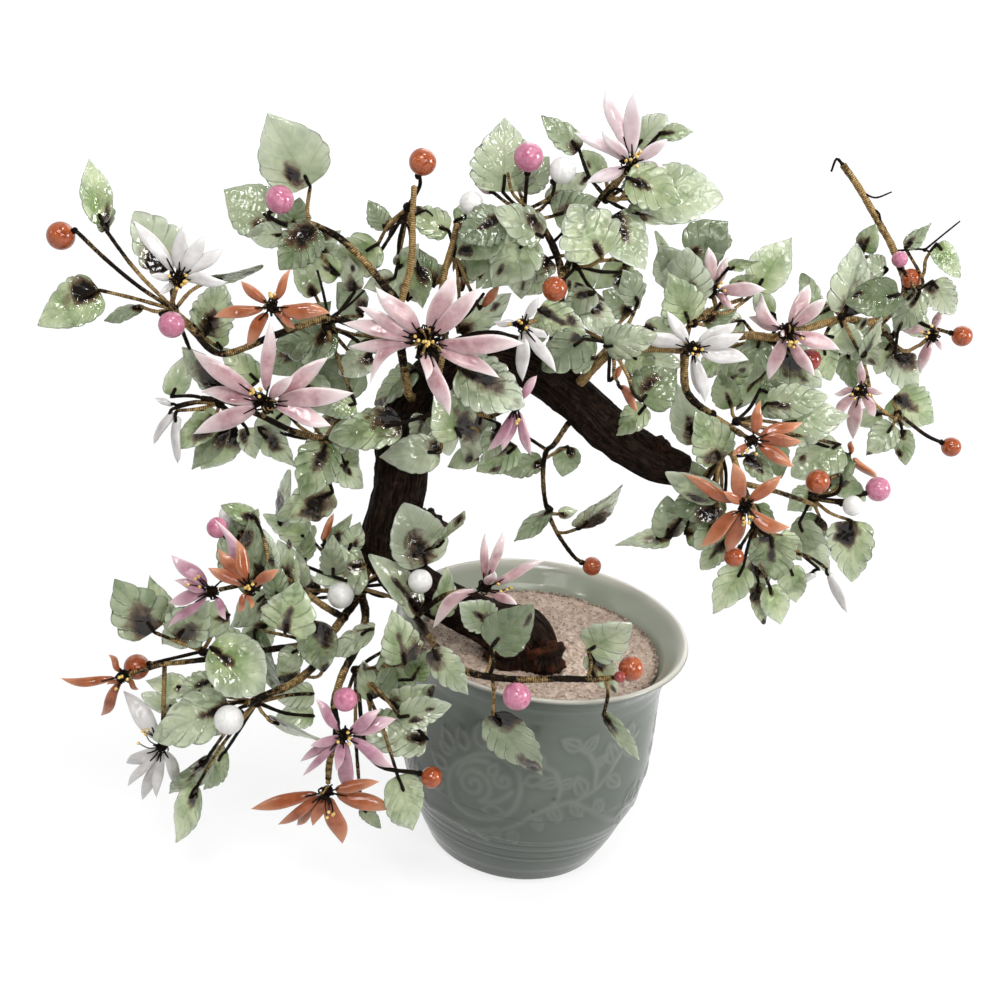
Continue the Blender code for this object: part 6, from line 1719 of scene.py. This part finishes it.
def sand_piece(mat):
    """Bed of sand: a rumpled top with loose grains, a ragged edge that is darker toward the wall,
    and hidden sides.
    """
    share = (np.arange(SAND_RINGS) + 1) / SAND_RINGS
    turn = circle(SAND_AROUND)
    ragged = np.array([noise.noise(Vector((3 * math.cos(a) * 4, 3 * math.sin(a) * 4, 1.0)))
                       for a in turn])
    reach = SAND_EDGE * (1 + 0.012 * ragged[None] * share[:, None] ** 6)
    x = share[:, None] * reach * np.cos(turn)[None]
    y = share[:, None] * reach * np.sin(turn)[None]
    z = np.array([[sand_height(a, b) for a, b in zip(*rows)] for rows in zip(x, y)])
    # The sand darkens and dips toward the wall.
    crumb = held((share - 0.955) / 0.03)[:, None] * held(0.55 + ragged[None])
    z = z - 0.8 * crumb
    verts = np.stack([x, y, z], -1)
    floor = SAND_TOP - SAND_DEPTH
    low = verts[-1] * [1, 1, 0] + [0, 0, floor]
    ends = [(0, 0, floor), (0, 0, float(z[0].mean()))]
    skin = Skin()
    skin.add(np.vstack([low, verts[::-1].reshape(-1, 3), ends]),
             loft_faces(SAND_RINGS + 1, SAND_AROUND),
             crumb=np.concatenate([crumb[-1], crumb[::-1].reshape(-1), [0, 0]]))
    rng = np.random.default_rng(5)
    for index in range(LOOSE_GRAINS):
        at_edge = index % EDGE_GRAINS == 0
        share = rng.uniform(0.965, 1.0) if at_edge else math.sqrt(rng.uniform(0.0, 0.97))
        away, angle = SAND_EDGE * share, rng.uniform(0, 2 * np.pi)
        x, y = away * math.cos(angle), away * math.sin(angle)
        size = rng.uniform(0.3, 0.62) * (1.25 if at_edge else 1.0)
        spin = Matrix.Rotation(rng.uniform(0, 6), 3, Vector(unit(rng.normal(size=3))))
        grain = GRAIN_VERTS * size * rng.uniform(0.7, 1.2, 3) @ np.array(spin)
        dark = 0.8 if rng.uniform() < (0.4 if at_edge else 0.06) else 0.0
        skin.add(grain + [x, y, sand_height(x, y) + size * 0.25], GRAIN_FACES, crumb=dark)
    skin.piece("sand_surface", mat, "sand", ["sand_bed"])


def bark_height(run, angle):
    """Height of the bark at a length along the trunk and an angle around it."""
    c, s = math.cos(angle), math.sin(angle)
    big = noise.noise(Vector((run * 0.03, c * 1.3, s * 1.3)))
    ridge = noise.noise(Vector((run * 0.03, c * 5.0, s * 5.0)))
    fine = noise.noise(Vector((run * 0.12, c * 13.0, s * 13.0)))
    return 0.13 * big - 0.20 * abs(ridge) ** 0.6 + 0.06 * fine + 0.07


def trunk_piece(mat):
    """Bark: long ridges that follow the trunk, knots, and ruddy raised places, partly wear and
    partly painted highlight.
    """
    path, shares = smooth_path([place[:3] for place in TRUNK], TRUNK_STEP)
    radius = np.interp(shares, np.linspace(0, 1, len(TRUNK)), [place[3] for place in TRUNK])
    ways, sides, others, length = path_frames(path)
    angle = circle(TRUNK_AROUND)
    ridges = np.array([[bark_height(run, a) for a in angle] for run in length])
    r = radius[:, None] * (1.0 + ridges)
    r[0], r[-1] = r[0] * 0.9, r[-1] * 0.86
    verts = tube(path, sides, others, angle, r)
    low = held((RUDDY_TOP - verts[:, 2].reshape(r.shape)) / RUDDY_FADE)
    # Ruddy on the ridges, most on the stump: partly wear, partly painted highlight.
    ruddy = held(ridges * 5 - 0.2) * (0.1 + 0.7 * low)
    cosine, sine = (np.tile(wave(angle), len(path)) for wave in (np.cos, np.sin))
    skin = Skin()
    skin.add(np.vstack([verts, path[0] - ways[0], path[-1] + ways[-1] * 0.4]),
             loft_faces(len(path), TRUNK_AROUND),
             along=with_ends(np.repeat(length, TRUNK_AROUND), 0.0, length[-1]),
             cosine=with_ends(cosine, 0, 0), sine=with_ends(sine, 0, 0),
             ruddy=with_ends(ruddy, 0, 0))
    for centre, size in TRUNK_LUMPS:
        lump, faces = pearl(centre, size, LUMP_TURN, *TRUNK_BALL)
        middle = np.array(centre, dtype=float)
        rough = np.array([noise.fractal(Vector(v) * 0.22, 0.8, 2.0, 4) for v in lump])
        lump = middle + (lump - middle) * (1.0 + 0.36 * rough[:, None])
        way = unit(lump - middle)
        # Ruddy on the lumps' raised places: partly wear, partly painted highlight.
        ruddy = held(rough * 1.4) * (0.7 if centre[2] < STUMP_TOP else 0.15)
        skin.add(lump, faces, along=lump[:, 2] * 2.0, cosine=way[:, 0], sine=way[:, 1],
                 ruddy=ruddy)
    skin.piece("trunk_bark", mat, "bark", ["trunk"])


# ----------------------------------------------------------------- stage ---
# The camera stands at VIEWPOINT and leans, so that the tree appears turned clockwise.
LENS, SENSOR, NEAREST = 51.8, 36.0, 0.01
LOOK_DOWN, LEAN = math.radians(23.4), math.radians(7.1)
# What glass and glaze mirror: a bright window behind and above, a dim room in front.
WINDOW_BRIGHT, ROOM_DIM, ROOM_LIGHT = 0.95, 0.22, 0.30
# The floor's own light near the tree, and the metres over which it fades to plain white.
FLOOR_SIZE, FLOOR_GLOW, FLOOR_FADE = 60.0, 0.80, (0.7, 2.5)
# Lights in metres and watts, all turned to AIM.  A paned window is three panes wide and two
# high, so that its glints break up on the glass: place and power.
AIM = (0, 0, 0.2)
WINDOWS = (((-0.25, -0.95, 1.35), 9.0), ((0.55, -1.15, 0.85), 4.5))
PANES = [(column, half) for column in (-1, 0, 1) for half in (-0.5, 0.5)]
PANE_GAP, PANE_SIZE = 0.2, 0.12
# Single lights: place, power and size.
LAMPS = {
    "top": ((0.1, -0.2, 1.4), 4.0, 0.2), "spark_left": ((-0.8, -1.1, 0.9), 1.0, 0.08),
    "spark_middle": ((0.1, -1.3, 1.0), 1.0, 0.08), "spark_low": ((0.2, -1.4, 0.6), 1.0, 0.08),
    "left": ((-1.3, -0.3, 0.7), 0.9, 0.3), "right": ((1.2, -0.2, 0.6), 10.5, 0.4),
    "window": ((0.4, 1.2, 0.9), 8.0, 1.2)}


def set_camera():
    """Looks slightly down on the tree."""
    ahead = Vector((0.0, math.cos(LOOK_DOWN), -math.sin(LOOK_DOWN)))
    level = Vector((1.0, 0.0, 0.0))
    upright = level.cross(ahead)
    right = level * math.cos(LEAN) + upright * math.sin(LEAN)
    top = upright * math.cos(LEAN) - level * math.sin(LEAN)
    turn = Matrix((right, top, -ahead)).transposed().to_4x4()
    turn.translation = VIEWPOINT * MM
    data = bpy.data.cameras.new("viewer")
    data.lens, data.sensor_width, data.clip_start = LENS, SENSOR, NEAREST
    camera = bpy.data.objects.new("viewer", data)
    bpy.context.scene.collection.objects.link(camera)
    camera.matrix_world = turn
    bpy.context.scene.camera = camera


def lamp(name, place, power, size):
    data = bpy.data.lights.new(name, "AREA")
    data.energy, data.size = power, size
    thing = bpy.data.objects.new(name, data)
    bpy.context.scene.collection.objects.link(thing)
    thing.location = place
    thing.rotation_euler = (Vector(AIM) - Vector(place)).to_track_quat("-Z", "Y").to_euler()


def paned_window(place, power):
    """Light of a window in six panes."""
    away = Vector(place) - Vector(AIM)
    right = Vector((0, 0, 1)).cross(away).normalized()
    up = away.cross(right).normalized()
    for column, half in PANES:
        pane = Vector(place) + right * column * PANE_GAP + up * half * PANE_GAP
        lamp("pane", pane, power / len(PANES), PANE_SIZE)


def set_world():
    """White to the eye, with a window and a room for glass and glaze to mirror."""
    world = bpy.data.worlds.new("white_room")
    bpy.context.scene.world = world
    world.use_nodes = True
    tree = world.node_tree
    ray = tree.nodes.new("ShaderNodeLightPath").outputs

    def backdrop(strength):
        made = tree.nodes.new("ShaderNodeBackground")
        made.inputs["Color"].default_value = (1.0, 1.0, 1.0, 1.0)
        made.inputs["Strength"].default_value = strength
        return made.outputs["Background"]

    def either(share, first, second):
        made = tree.nodes.new("ShaderNodeMixShader")
        for socket, source in zip(made.inputs, (share, first, second)):
            tree.links.new(source, socket)
        return made.outputs["Shader"]

    place = tree.nodes.new("ShaderNodeTexCoord")
    parts = tree.nodes.new("ShaderNodeSeparateXYZ")
    tree.links.new(place.outputs["Generated"], parts.inputs[0])
    behind = tree.nodes.new("ShaderNodeMapRange")
    behind.inputs["From Min"].default_value = -0.5
    behind.inputs["From Max"].default_value = 0.4
    tree.links.new(parts.outputs["Y"], behind.inputs["Value"])
    mirrored = either(behind.outputs["Result"], backdrop(ROOM_DIM), backdrop(WINDOW_BRIGHT))
    seen = either(ray["Is Glossy Ray"], backdrop(ROOM_LIGHT), mirrored)
    seen = either(ray["Is Transmission Ray"], seen, backdrop(WINDOW_BRIGHT))
    seen = either(ray["Is Camera Ray"], seen, backdrop(1.0))
    tree.links.new(seen, tree.nodes["World Output"].inputs["Surface"])


def white_floor():
    """Diffuse floor that takes the shadow, and that looks nearly white."""
    bpy.ops.mesh.primitive_plane_add(size=FLOOR_SIZE, location=(0.0, 0.0, 0.0))
    floor = bpy.context.object
    floor.name = "floor"
    s = Shader("floor")
    ray = s.node("ShaderNodeLightPath").outputs
    seen = s.maths("MAXIMUM", ray["Is Camera Ray"], ray["Is Glossy Ray"])
    seen = s.maths("MAXIMUM", seen, ray["Is Transmission Ray"])
    plain = s.mix(s.noise(3.0), (0.48, 0.48, 0.48), (0.52, 0.52, 0.52))
    reach = s.node("ShaderNodeVectorMath", operation="LENGTH")
    s.link(s.place, reach.inputs[0])
    glow = s.span(reach.outputs["Value"], *FLOOR_FADE, FLOOR_GLOW, 1.0)
    s.set(Base_Color=s.mix(seen, plain, (0.20, 0.20, 0.20)), Roughness=0.6,
          Specular_IOR_Level=0.1, Emission_Color=(1.0, 1.0, 1.0),
          Emission_Strength=s.times(seen, glow))
    floor.data.materials.append(s.mat)


def set_stage():
    """White room and floor, two paned lights in front and a window light behind."""
    bpy.context.scene.view_settings.view_transform = "Standard"
    set_world()
    for place, power in WINDOWS:
        paned_window(place, power)
    for name, (place, power, size) in LAMPS.items():
        lamp(name, place, power, size)
    white_floor()


def dress():
    """Every piece of the ornament."""
    layout = Layout(solid_meshes())
    mats = {"leaf": leaf_glass(), "wire": wrapped_wire(), "gold": gold_metal()}
    mats.update({hue: petal_glass(hue) for hue in PETAL_COLOURS})
    mats.update({"bead_" + hue: bead_glass(hue) for hue in BEAD_COLOURS})
    pot_piece(celadon())
    sand_piece(sand_grain())
    trunk_piece(bark())
    for node in BOUGHS:
        bough_piece(node, layout, mats["wire"])
    for node in FLOWERS:
        flower_pieces(node, layout, mats)
    for node in SPRAYS:
        spray_pieces(node, layout, mats)


set_camera()
set_stage()
dress()
